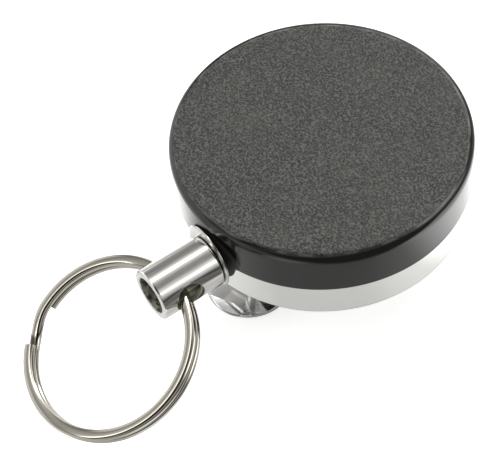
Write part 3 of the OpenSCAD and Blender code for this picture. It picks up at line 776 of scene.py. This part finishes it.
class REEL_OT_stage(PieceOperator, bpy.types.Operator):
    """Camera, floor and the soft studio light"""

    bl_idname = "reel.stage"
    bl_label = "Stage"

    def build(self):
        scene = bpy.context.scene
        scene.view_settings.view_transform = "Standard"
        self.camera(scene)
        self.floor()
        self.world(scene)

    def camera(self, scene):
        data = bpy.data.cameras.new("photo_camera")
        data.sensor_fit = "HORIZONTAL"
        data.sensor_width = CAMERA_SENSOR
        data.lens = CAMERA_LENS
        data.clip_start = CAMERA_NEAR
        scene.camera = add_object("photo_camera", data)
        back = CAMERA_RIGHT.cross(CAMERA_UP).normalized()
        scene.camera.matrix_world = basis(CAMERA_RIGHT, CAMERA_UP, back, CAMERA_PLACE)

    def floor(self):
        """A floor that is plain to the camera, and light or dark by place where the metal reflects it."""
        bm = bmesh.new()
        corners = ((-1, -1), (1, -1), (1, 1), (-1, 1))
        bm.faces.new([bm.verts.new((x * FLOOR_HALF, y * FLOOR_HALF, FLOOR_Z)) for x, y in corners])
        floor = new_piece("floor", bm)
        f, pale = Finish("pale_floor"), colours().floor
        paper = f.mix(f.noise(60 * MM), tint(pale, 0.99), tint(pale, 1.01))
        rays = f.add("ShaderNodeLightPath").outputs
        f.put("Base Color", f.mix(rays["Is Camera Ray"], tint(pale, 0.14), paper))
        f.put("Emission Color", paper)
        x, y, _ = f.parts()
        right = f.math("MULTIPLY_ADD", x, 0.75, y)
        # Painted light: the floor glows for the metal's reflections only, lighter or darker by place.
        glow = f.plus(f.span(right, 8 * MM, 20 * MM, 0.63, 0.87),
                      f.span(right, 20 * MM, 34 * MM, 0.0, 1.7, smooth=True),
                      f.span(x, 10 * MM, 0.0, 0.0, 0.24))
        for place, start, full, level in FLOOR_PATCHES:
            near = f.vector("DISTANCE", f.coords, [c * MM for c in place])
            glow = f.plus(glow, f.span(near, start * MM, full * MM, 0.0, level, smooth=True))
        front = f.math("MULTIPLY_ADD", y, -0.8, x)
        far = f.times(f.span(front, 36 * MM, 50 * MM, smooth=True), f.span(x, 22 * MM, 36 * MM, smooth=True))
        # Painted shadow: the glow drops to 0.4 under the case, and fades far to the front and the right.
        glow = f.times(glow, f.span(y, 32 * MM, 46 * MM, 1.0, 0.1, smooth=True),
                       f.span(f.vector("LENGTH", f.coords), 18 * MM, 23 * MM, 0.4, 1.0, smooth=True),
                       f.span(far, 0.0, 1.0, 1.0, 0.0), rays["Is Glossy Ray"])
        f.put("Emission Strength", f.math("MULTIPLY_ADD", rays["Is Camera Ray"], 0.75, glow))
        f.put("Roughness", 0.9)
        f.put("Specular IOR Level", 0.1)
        dress(floor, f.material)

    def world(self, scene):
        """Light panels by their angle around the end tube, with light and dark patches over them."""
        scene.world = bpy.data.worlds.new("studio")
        scene.world.use_nodes = True
        scene.world.node_tree.nodes.clear()
        sky = Nodes(scene.world.node_tree, "Generated")
        x, y, z = sky.parts()

        def patch(direction, start, full, outside, inside):
            toward = sky.vector("DOT_PRODUCT", sky.coords, direction)
            return sky.span(toward, start, full, outside, inside, smooth=True)

        turn = sky.math("ARCTAN2", z, sky.vector("DOT_PRODUCT", sky.coords, CROSS_AXIS))
        ramp = sky.add("ShaderNodeValToRGB", {"Fac": sky.span(turn, 0.0, math.pi)})
        stops = ramp.color_ramp.elements
        while len(stops) > 1:
            stops.remove(stops[-1])
        for k, (degrees, level) in enumerate(PANELS):
            stop = stops[0] if k == 0 else stops.new(degrees / 180)
            stop.position = degrees / 180
            stop.color = (level, level, level * SKY_WARMTH, 1)
        behind = sky.times(sky.span(y, 0.42, 0.7, 0.0, 3.5, smooth=True), sky.span(x, 0.1, -0.3, smooth=True))
        light = sky.plus(behind, *(patch(*values) for values in LIGHT_PATCHES))
        dark = sky.times(*(patch(*values) for values in DARK_PATCHES))
        level = sky.times(dark, light, SKY_LEVEL * colours().light)
        lit = sky.add("ShaderNodeBackground", {"Color": ramp.outputs["Color"], "Strength": level})
        plain = sky.add("ShaderNodeBackground", {"Color": (1, 1, 1, 1), "Strength": BACKDROP})
        seen = sky.add("ShaderNodeLightPath").outputs["Is Camera Ray"]
        both = sky.add("ShaderNodeMixShader", {"Fac": seen, 1: lit.outputs[0], 2: plain.outputs[0]})
        sky.add("ShaderNodeOutputWorld", {"Surface": both.outputs[0]})


class REEL_OT_cover(PieceOperator, bpy.types.Operator):
    """Moulded front cover with its round edge, spigot and nozzle boss"""

    bl_idname = "reel.front_cover"
    bl_label = "Front cover"

    def build(self):
        s = sizes()
        roof = FRONT_Z - s.cover_wall
        crown = FRONT_Z - s.cover_edge_h
        inner = s.case_r - s.cover_edge_w
        low = RIM_Z - s.spigot_depth
        soft = 0.12 * MM
        socket_in, socket_out, socket_low = 2.53 * MM, 4.43 * MM, roof - 0.6 * MM
        profile = [(0, FRONT_Z), (inner * 0.5, FRONT_Z), (inner - 0.3 * MM, FRONT_Z)]
        profile += [(inner + x * s.cover_edge_w, crown + z * s.cover_edge_h)
                    for x, z in arc((0, 0), 1, 90, 0, 16)]
        profile += [(s.case_r, crown - 0.2 * MM), (s.case_r, RIM_Z + 2 * soft)]
        profile += arc((s.case_r - soft, RIM_Z + soft), soft, 0, -90, 4)
        profile += [(s.spigot_r, RIM_Z), (s.spigot_r, low), (s.cover_bore_r, low), (s.cover_bore_r, roof)]
        profile += [(socket_out, roof), (socket_out, socket_low), (socket_in, socket_low), (socket_in, roof)]
        profile += [(0, roof)]
        cover = lathe("cover_shell", profile)
        nozzle = along_nozzle()
        boss = drill(s.notch_r - s.notch_gap, s.cover_bore_r - 1.2 * MM, s.case_r, nozzle)
        floor, top, skin = CASE_Z + s.cup_wall, RIM_Z + soft, s.case_r - 0.05 * MM
        band = [(s.cover_bore_r, floor), (skin, floor), (skin, top), (s.cover_bore_r, top)]
        cut(boss, lathe("tool", band), "INTERSECT")
        cut(cover, boss, "UNION")
        cut(cover, drill(s.neck_r + 0.03 * MM, s.cover_bore_r - 3 * MM, s.boss_r + 0.1 * MM, nozzle))
        cut(cover, drill(s.flange_r + 0.05 * MM, s.boss_r, FLANGE_FACE + 0.03 * MM, nozzle))
        cut(cover, drill(s.socket_r + 0.05 * MM, s.boss_r, s.case_r + 1 * MM, nozzle))
        shade(cover)
        dress(cover, grained_plastic())
        place_piece(cover, "case", "cover_plastic", "front_cover")


class REEL_OT_cup(PieceOperator, bpy.types.Operator):
    """Plated cup behind the cover, with the nozzle's notch"""

    bl_idname = "reel.case_cup"
    bl_label = "Case cup"

    def build(self):
        s = sizes()
        outer = s.case_r - s.cup_inset
        bore = outer - s.cup_wall
        floor = CASE_Z + s.cup_wall
        soft = 0.1 * MM
        hole = s.rivet_r + RIVET_PLAY
        profile = [(hole, CASE_Z), (outer * 0.5, CASE_Z), (outer - s.cup_edge_r - 0.3 * MM, CASE_Z)]
        profile += arc((outer - s.cup_edge_r, CASE_Z + s.cup_edge_r), s.cup_edge_r, -90, 0, 8)
        profile += [(outer, CASE_Z + s.cup_edge_r + 0.2 * MM), (outer, RIM_Z - 2 * soft)]
        profile += arc((outer - soft, RIM_Z - soft), soft, 0, 90, 3)
        profile += [(bore, RIM_Z), (bore, floor), (hole, floor)]
        cup = lathe("cup_shell", profile, steps=CUP_STEPS)
        cut(cup, drill(s.notch_r, bore - 2 * MM, outer + 1 * MM, along_nozzle()))
        width, depth, tall = 2 * s.notch_r, 4 * MM, 4 * MM
        bm = bmesh.new()
        bmesh.ops.create_cube(bm, size=1.0)
        bmesh.ops.transform(bm, verts=bm.verts[:], matrix=Matrix.Translation((0, -outer, NOZZLE_Z + tall / 2))
                            @ Matrix.Diagonal((width, depth, tall, 1)))
        cut(cup, new_piece("tool", bm))
        for place in at_pegs():
            cut(cup, drill(PEG_HOLE_R, CASE_Z - 1 * MM, floor + 1 * MM, place))
        shade(cup)
        plate = metal("cup_plate", colours().plate, (0.05, 0.10), even_lines, 0.0006 * MM, 0.03, 1.5)
        dress(cup, plate.material)
        place_piece(cup, "case", "bright_plate", "case_cup")


class REEL_OT_collar(PieceOperator, bpy.types.Operator):
    """Rolled collar in the nozzle"""

    bl_idname = "reel.nozzle_collar"
    bl_label = "Nozzle collar"

    def build(self):
        s = sizes()
        seat = FLANGE_FACE - s.flange_t
        inner = -COLLAR_BOX[1].y
        pivot = -PIVOT.y
        roll, soft = 0.2 * MM, 0.15 * MM
        face_r = math.sqrt(s.socket_r ** 2 - (pivot - FLANGE_FACE) ** 2)
        profile = [(s.guide_r, inner), (s.flare_r - soft, inner)]
        profile += arc((s.flare_r - soft, inner + soft), soft, -90, 0, 3)
        profile += [(s.flare_r, inner + s.flare_t), (s.neck_r, inner + s.flare_t), (s.neck_r, seat)]
        profile += [(s.flange_r, seat)] + arc((s.flange_r - roll, FLANGE_FACE - roll), roll, 0, 90, 5)
        profile += [(face_r + 0.2 * MM, FLANGE_FACE), (face_r + 0.05 * MM, FLANGE_FACE - 0.03 * MM)]
        start = math.degrees(math.asin((FLANGE_FACE - pivot) / s.socket_r)) - 3
        stop = -math.degrees(math.acos(s.guide_r / s.socket_r))
        profile += arc((0, pivot), s.socket_r, start, stop, 8)
        collar = lathe("nozzle_flange", profile, along_nozzle())
        satin = metal("collar_satin", tint(colours().steel, 0.7), (0.34, 0.46),
                      turned_lines(-OUT, PIVOT, 0.1 * MM), 0.001 * MM)
        dress(collar, satin.material)
        place_piece(collar, "case", "bright_plate", "nozzle_collar")


class REEL_OT_tube(PieceOperator, bpy.types.Operator):
    """Bright tube on the cord's end, with its bore and cross hole"""

    bl_idname = "reel.end_tube"
    bl_label = "End tube"

    def build(self):
        s = sizes()
        start, mouth = s.tube_start, s.tube_start + s.tube_l
        floor, stem = s.tube_start + s.tube_floor, s.tube_start + s.stem_l
        edge, lip = s.tube_edge_r, 0.12 * MM
        cord_hole = s.cord_r + 0.2 * MM
        profile = [(s.stem_r, start), (s.tube_r - edge, start)]
        profile += arc((s.tube_r - edge, start + edge), edge, -90, 0, 5)
        profile += [(s.tube_r, start + edge + 0.1 * MM), (s.tube_r, mouth - edge - 0.1 * MM)]
        profile += arc((s.tube_r - edge, mouth - edge), edge, 0, 90, 5)
        profile += [(s.tube_bore_r + lip + 0.1 * MM, mouth)]
        profile += arc((s.tube_bore_r + lip, mouth - lip), lip, 90, 180, 3)
        profile += [(s.tube_bore_r, floor), (cord_hole, floor), (cord_hole, stem), (s.stem_r, stem)]
        tube = lathe("tube_shell", profile, along_tube())
        cross = basis(TUBE_AXIS, UP.cross(CROSS_AXIS).cross(CROSS_AXIS) * -1, CROSS_AXIS, CROSS_POINT)
        cut(tube, drill(s.cross_r, -6 * MM, 6 * MM, cross))
        self.round_hole(tube.data)
        shade(tube)
        plate = metal("tube_plate", colours().tube, (0.045, 0.09),
                      turned_lines(TUBE_AXIS, PIVOT, 0.14 * MM), 0.0007 * MM, 0.03, 8.0)
        dull_bore(plate)
        dress(tube, plate.material)
        place_piece(tube, "end_fitting", "bright_plate", "end_tube")

    def round_hole(self, mesh):
        """Rounds the rim where the cross hole meets the outside."""
        s = sizes()
        bm = bmesh.new()
        bm.from_mesh(mesh)

        def away(vertex, origin, axis):
            off = vertex.co - origin
            return (off - axis * off.dot(axis)).length

        def on_rim(vertex):
            at_hole = abs(away(vertex, CROSS_POINT, CROSS_AXIS) - s.cross_r) < 0.01 * MM
            return at_hole and abs(away(vertex, PIVOT, TUBE_AXIS) - s.tube_r) < 0.02 * MM

        rim = [e for e in bm.edges if all(on_rim(v) for v in e.verts)]
        bmesh.ops.bevel(bm, geom=rim, offset=0.14 * MM, segments=3, profile=0.5, affect="EDGES",
                        clamp_overlap=True)
        bm.to_mesh(mesh)
        bm.free()


class REEL_OT_washer(PieceOperator, bpy.types.Operator):
    """Loose stop washer with a round rim between the tube and the case"""

    bl_idname = "reel.stop_washer"
    bl_label = "Stop washer"

    def build(self):
        s = sizes()
        roll, soft = s.stop_t / 2, 0.1 * MM
        back, face = s.stop_s, s.stop_s + s.stop_t
        rim, flat, hole = s.stop_r - roll, s.stop_r - roll - 0.2 * MM, s.stop_hole_r + soft
        profile = [(hole, back), (flat, back)]
        profile += arc((rim, back + roll), roll, -90, 90, 12)
        profile += [(flat, face)]
        profile += arc((hole, face - soft), soft, 90, 180, 3)
        profile += arc((hole, back + soft), soft, 180, 270, 3)[:-1]
        place = along_tube() @ Matrix.Translation((-s.stop_side, s.stop_rise, 0))
        washer = lathe("washer_disc", profile, place)
        plate = metal("washer_plate", tint(colours().plate, 0.70), (0.14, 0.24),
                      turned_lines(TUBE_AXIS, PIVOT, 0.1 * MM), 0.001 * MM, 0.06, 2.0)
        dress(washer, plate.material)
        place_piece(washer, "cord_tip", "bright_plate", "stop_washer")


class REEL_OT_ring(PieceOperator, bpy.types.Operator):
    """Split ring of two flat coils with a step between them"""

    bl_idname = "reel.split_ring"
    bl_label = "Split ring"

    def build(self):
        s, a = sizes(), angles()
        fall = TUBE_AXIS * math.cos(a.ring_fall) - UP * math.sin(a.ring_fall)
        centre = CROSS_POINT + fall * (s.wire_r + s.ring_front) + CROSS_AXIS * s.ring_side
        normal = CROSS_AXIS.cross(-fall)
        half = a.step_span / 2
        nickel = metal("nickel_wire", colours().nickel, (0.06, 0.13),
                       turned_lines(normal, centre, 0.09 * MM), 0.002 * MM, 0.05, 1.0)
        # Painted shade along the crevice where the two coils touch.
        coil_painted_shade(nickel, normal, centre)
        seed = add_object("ring_coils", bpy.data.meshes.new("ring_seed"))
        ring = grow(seed, ring_tree(), {
            "Radius": s.wire_r, "Width": s.wire_w, "Thickness": s.wire_t,
            "Corner": WIRE_CORNER, "Lift": s.coil_lift,
            "First": a.step_at + half + a.end_clear - 2 * math.pi,
            "Last": a.step_at - half - a.end_clear + 2 * math.pi,
            "Step low": a.step_at - half, "Step high": a.step_at + half,
            "Points": WIRE_POINTS, "Material": nickel.material})
        ring.data.transform(basis(CROSS_AXIS, -fall, normal, centre))
        place_piece(ring, "key_ring", "ring_nickel", "split_ring")


class REEL_OT_clip(PieceOperator, bpy.types.Operator):
    """Belt clip: the riveted end with its bend, and the springy leaf"""

    bl_idname = "reel.belt_clip"
    bl_label = "Belt clip"

    def build(self):
        s = sizes()
        self.mid_low = s.clip_t / 2
        self.mid_high = CASE_Z - s.clip_t / 2
        steel = metal("clip_strip", colours().clip, (0.08, 0.15),
                      brushed_lines((1.0, 0.06, 1.0)), 0.0010 * MM, 0.04, 1.2)
        self.back(steel.material)
        self.leaf(steel.material)

    def back(self, steel):
        """The pad under the case and the bend, which ends flush with the leaf."""
        s = sizes()
        radius = (self.mid_high - self.mid_low) / 2
        pad = s.bend_y + s.pad_front
        turn = math.pi * radius
        end = -turn - (s.bend_y - SEAM_Y)

        def bend(x, run, height):
            run = pad - run
            if run <= pad:
                return (x, run - s.pad_front, self.mid_high + height)
            if run >= pad + turn:
                return (x, s.bend_y - (run - pad - turn), self.mid_low - height)
            a = (run - pad) / radius
            reach = radius + height
            return (x, s.bend_y + reach * math.sin(a), self.mid_low + radius + reach * math.cos(a))

        outline = strip_outline(s.clip_w / 2, pad, end - 1 * MM, 72)
        plain = round_edge(s.clip_t, STRIP_EDGE, STRIP_EDGE, 4)
        cuts = [(0, -turn * i / 28, 0, 1) for i in range(29)]
        back = strip_piece("clip_back", outline, lambda point: plain, cuts, end, bend)
        cut(back, drill(s.rivet_r + RIVET_PLAY, CASE_Z - 2 * MM, CASE_Z + 1 * MM))
        for place in at_pegs():
            cut(back, drill(PEG_R, CASE_Z - 0.3 * MM, CASE_Z + 0.6 * MM, place), "UNION")
        shade(back, STRIP_SHARP)
        dress(back, steel)
        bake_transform(back)
        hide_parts("clip_pad")

    def leaf(self, steel):
        """The leaf from the bend over its hump to the round tip."""
        s = sizes()
        slope, radius = angles().hump_slope, s.hump_r
        run_half = 2 * radius * math.sin(slope)
        turn = radius * slope
        low_run = s.hump_y - run_half + SEAM_Y
        high = self.mid_low + 2 * radius * (1 - math.cos(slope))
        after = low_run + 4 * turn
        base = after - s.hump_y - run_half
        front = after + s.tip_y - s.hump_y - run_half
        crease, crease_x, crease_run = (2.0 * MM, base + 17.2 * MM), 0.84, -0.54
        fold, fold_x, fold_run = (2.12 * MM, base + 18.43 * MM), 0.366, 0.93
        bevel, chamfer = 1.04 * MM, 0.39 * MM

        def coined(x, run):
            """How far the top face drops at the tip's pressed facets."""
            across = (x - crease[0]) * crease_x + (run - crease[1]) * crease_run
            beyond = (x - fold[0]) * fold_x + (run - fold[1]) * fold_run
            drop = 0.1 * clamp(across, 0.0, bevel) + 0.4 * clamp(across - bevel, 0.0, chamfer)
            fade = clamp((run - after) / (1.2 * MM))
            return max(drop * fade, 0.35 * max(beyond, 0.0) if across <= 0 else 0.0)

        def bend(x, run, height):
            if run <= low_run:
                return (x, SEAM_Y - run, self.mid_low + height)
            if run >= after:
                height -= coined(x, run) if height > 0 else 0
                return (x, -s.hump_y - run_half - (run - after), self.mid_low + height)
            part = run - low_run
            if part <= turn:
                a, y, z, bow = part / radius, -s.hump_y + run_half, self.mid_low + radius, -1
            elif part <= 3 * turn:
                a, y, z, bow = (part - 2 * turn) / radius, -s.hump_y, high - radius, 1
            else:
                a, y, z, bow = (part - 4 * turn) / radius, -s.hump_y - run_half, self.mid_low + radius, -1
            reach = radius + bow * height
            return (x, y - reach * math.sin(a), z + bow * reach * math.cos(a))

        outline = strip_outline(s.clip_w / 2, front, -1 * MM, 96)
        plain = round_edge(s.clip_t, STRIP_EDGE, STRIP_EDGE, 5)
        lip = round_edge(s.clip_t, 0.2 * MM, STRIP_EDGE, 5)

        def edge(point):
            share = clamp((point[1] - front + 4 * MM) / (2.5 * MM))
            return [((1 - share) * p[0] + share * q[0], (1 - share) * p[1] + share * q[1])
                    for p, q in zip(plain, lip)]

        cuts = [(0, low_run + turn * i / 14, 0, 1) for i in range(57)]
        cuts += [(0, after + 0.3 * MM * k, 0, 1) for k in range(1, 5)]
        cuts += [(*fold, fold_x, fold_run)]
        cuts += [(crease[0] + at * crease_x, crease[1] + at * crease_run, crease_x, crease_run)
                 for at in (0.0, bevel, bevel + chamfer)]
        leaf = strip_piece("clip_spring_leaf", outline, edge, cuts, 0.0, bend)
        dress(leaf, steel)
        place_piece(leaf, "clip", "clip_plate", "clip_leaf")


class REEL_OT_rivet(PieceOperator, bpy.types.Operator):
    """Rivet that holds the clip to the spindle"""

    bl_idname = "reel.clip_rivet"
    bl_label = "Clip rivet"

    def build(self):
        s = sizes()
        seat = CASE_Z - s.clip_t
        top = CASE_Z + s.cup_wall + s.rivet_grip
        head = seat - s.rivet_head_h
        soft = 0.2 * MM
        dome = ((0, 0), (0.45, 0.02), (0.75, 0.09), (0.92, 0.2), (1, 0.36))
        profile = [(s.rivet_head_r * share, head + rise * MM) for share, rise in dome]
        profile += [(s.rivet_head_r, seat), (s.rivet_r, seat), (s.rivet_r, top - soft)]
        profile += [(s.rivet_r - soft, top), (0, top)]
        rivet = lathe("rivet_dome", profile, steps=RIVET_STEPS)
        dress(rivet, shared("lathe_steel", lathe_steel))
        place_piece(rivet, "case", "turned_steel", "clip_rivet")


class REEL_OT_cord(PieceOperator, bpy.types.Operator):
    """Cord on the spool and its run through the nozzle"""

    bl_idname = "reel.cord"
    bl_label = "Cord"

    def build(self):
        s, a = sizes(), angles()
        sweep = 4 * math.pi * a.layer_turns
        low_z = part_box("cord_winding")[0].z + s.cord_r

        def wound(turned):
            """A place on the cord's two layers: down the inner one, then up the outer one."""
            t = clamp((turned - sweep / 2 + math.pi / 2) / math.pi)
            radius = s.coil_r + s.coil_pitch * t * t * (3 - 2 * t)
            heading = a.cord_leave + sweep - turned
            rise = s.coil_pitch * abs(turned - sweep / 2) / (2 * math.pi)
            return Vector((radius * math.cos(heading), radius * math.sin(heading), low_z + rise))

        first = CORD_BEND / s.coil_r
        anchor = a.cord_leave + sweep
        backward = Vector((math.sin(anchor), -math.cos(anchor), 0))
        points = [wound(0) + (CORD_BEND + 1 * MM) * UP]
        for k in range(1, 7):
            turn = math.radians(15 * k)
            bow = (1 - math.cos(turn)) * backward + (1 - math.sin(turn)) * UP
            points.append(wound(0) + CORD_BEND * bow)
        points += [wound(first + (sweep - first) * i / COIL_STEPS) for i in range(1, COIL_STEPS + 1)]
        coils = sweep_cord("cord_coils", points)
        place_piece(coils, "spool", "cord", "cord_winding")
        self.run(wound(sweep), (wound(sweep) - wound(sweep - 0.02)).normalized())

    def run(self, last, heading):
        """The run from the winding to the collar's mouth, and the tail on into the tube."""
        a = last + 0.12 * MM * heading
        b = a + 8.2 * MM * heading
        d = Vector((0, COLLAR_BOX[1].y - sizes().flare_t, NOZZLE_Z))
        c = d - 2.6 * MM * OUT
        shares = [k / RUN_STEPS for k in range(RUN_STEPS + 1)]
        points = [(1 - t) ** 3 * a + 3 * (1 - t) ** 2 * t * b + 3 * (1 - t) * t * t * c + t ** 3 * d
                  for t in shares]
        near = PIVOT - CORD_BEND * OUT
        points += [d.lerp(near, t) for t in shares[1:]]
        run = sweep_cord("cord_run", points)
        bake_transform(run)
        far = PIVOT + TUBE_AXIS * CORD_BEND
        points = [(1 - t) ** 2 * near + 2 * (1 - t) * t * PIVOT + t * t * far for t in shares[::4]]
        reach = (PIVOT.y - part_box("cord_lead")[0].y) / abs(TUBE_AXIS.y) - 0.1 * MM
        tail = sweep_cord("cord_tail", points + [PIVOT + TUBE_AXIS * reach])
        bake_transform(tail)
        for piece in (run, tail):
            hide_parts("cord_lead")


class REEL_OT_inner(PieceOperator, bpy.types.Operator):
    """Finishes of the pieces that keep their CAD shape"""

    bl_idname = "reel.inner_pieces"
    bl_label = "Inner pieces"

    def build(self):
        c = colours()
        brass = metal("turned_brass", c.brass, (0.16, 0.28), turned_lines(UP, ORIGIN, 0.12 * MM), 0.003 * MM)
        guide = metal("guide_brass", c.brass, (0.14, 0.26), turned_lines(-OUT, NOZZLE, 0.1 * MM), 0.003 * MM)
        crimp = metal("crimp_steel", c.steel, (0.22, 0.36),
                      turned_lines(TUBE_AXIS, PIVOT, 0.1 * MM), 0.003 * MM)
        blued = metal("blued_strip", c.blued, (0.24, 0.40), brushed_lines((0.1, 0.1, 1.0)), 0.002 * MM, 0.18)
        nylon = moulded("moulded_nylon", c.nylon, (0.38, 0.52), 0.3 * MM, 0.006 * MM, 0.05)
        rubber = moulded("soft_rubber", c.rubber, (0.55, 0.72), 0.16 * MM, 0.012 * MM, 0.2)
        groups = {
            guide.material: ("cord_guide",),
            brass.material: ("lower_bush", "upper_bush"),
            shared("lathe_steel", lathe_steel): ("spindle", "cord_anchor"),
            crimp.material: ("cord_crimp",),
            blued.material: ("spindle_retainer", "power_spring"),
            nylon.material: ("lower_washer", "upper_washer", "spool_drum", "spring_lid"),
            rubber.material: ("end_bumper",),
        }
        for material, nodes in groups.items():
            for node in nodes:
                dress(frame["nodes"][node], material)


PIECES = (
    REEL_OT_stage, REEL_OT_cover, REEL_OT_cup, REEL_OT_collar, REEL_OT_tube, REEL_OT_washer, REEL_OT_ring,
    REEL_OT_clip, REEL_OT_rivet, REEL_OT_cord, REEL_OT_inner,
)
GROUPS = {"reel_sizes": ReelSizes, "reel_angles": ReelAngles, "reel_colours": ReelColours}


class REEL_PT_pieces(bpy.types.Panel):
    """Lists the reel's pieces, sizes and colours"""

    bl_idname = "REEL_PT_pieces"
    bl_label = "Badge Reel"
    bl_space_type = "VIEW_3D"
    bl_region_type = "UI"
    bl_category = "Badge Reel"

    def draw(self, context):
        column = self.layout.column()
        for piece in PIECES:
            column.operator(piece.bl_idname)
        for group in GROUPS:
            values = getattr(context.scene, group)
            box = self.layout.box()
            for name in values.bl_rna.properties.keys():
                if name not in ("rna_type", "name"):
                    box.prop(values, name)


def register():
    for name, group in GROUPS.items():
        bpy.utils.register_class(group)
        setattr(bpy.types.Scene, name, PointerProperty(type=group))
    for piece in (*PIECES, REEL_PT_pieces):
        bpy.utils.register_class(piece)


def unregister():
    for piece in reversed((*PIECES, REEL_PT_pieces)):
        bpy.utils.unregister_class(piece)
    for name, group in GROUPS.items():
        delattr(bpy.types.Scene, name)
        bpy.utils.unregister_class(group)


def main():
    register()
    for piece in PIECES:
        family, name = piece.bl_idname.split(".")
        getattr(getattr(bpy.ops, family), name)()


if __name__ == "__main__":
    main()
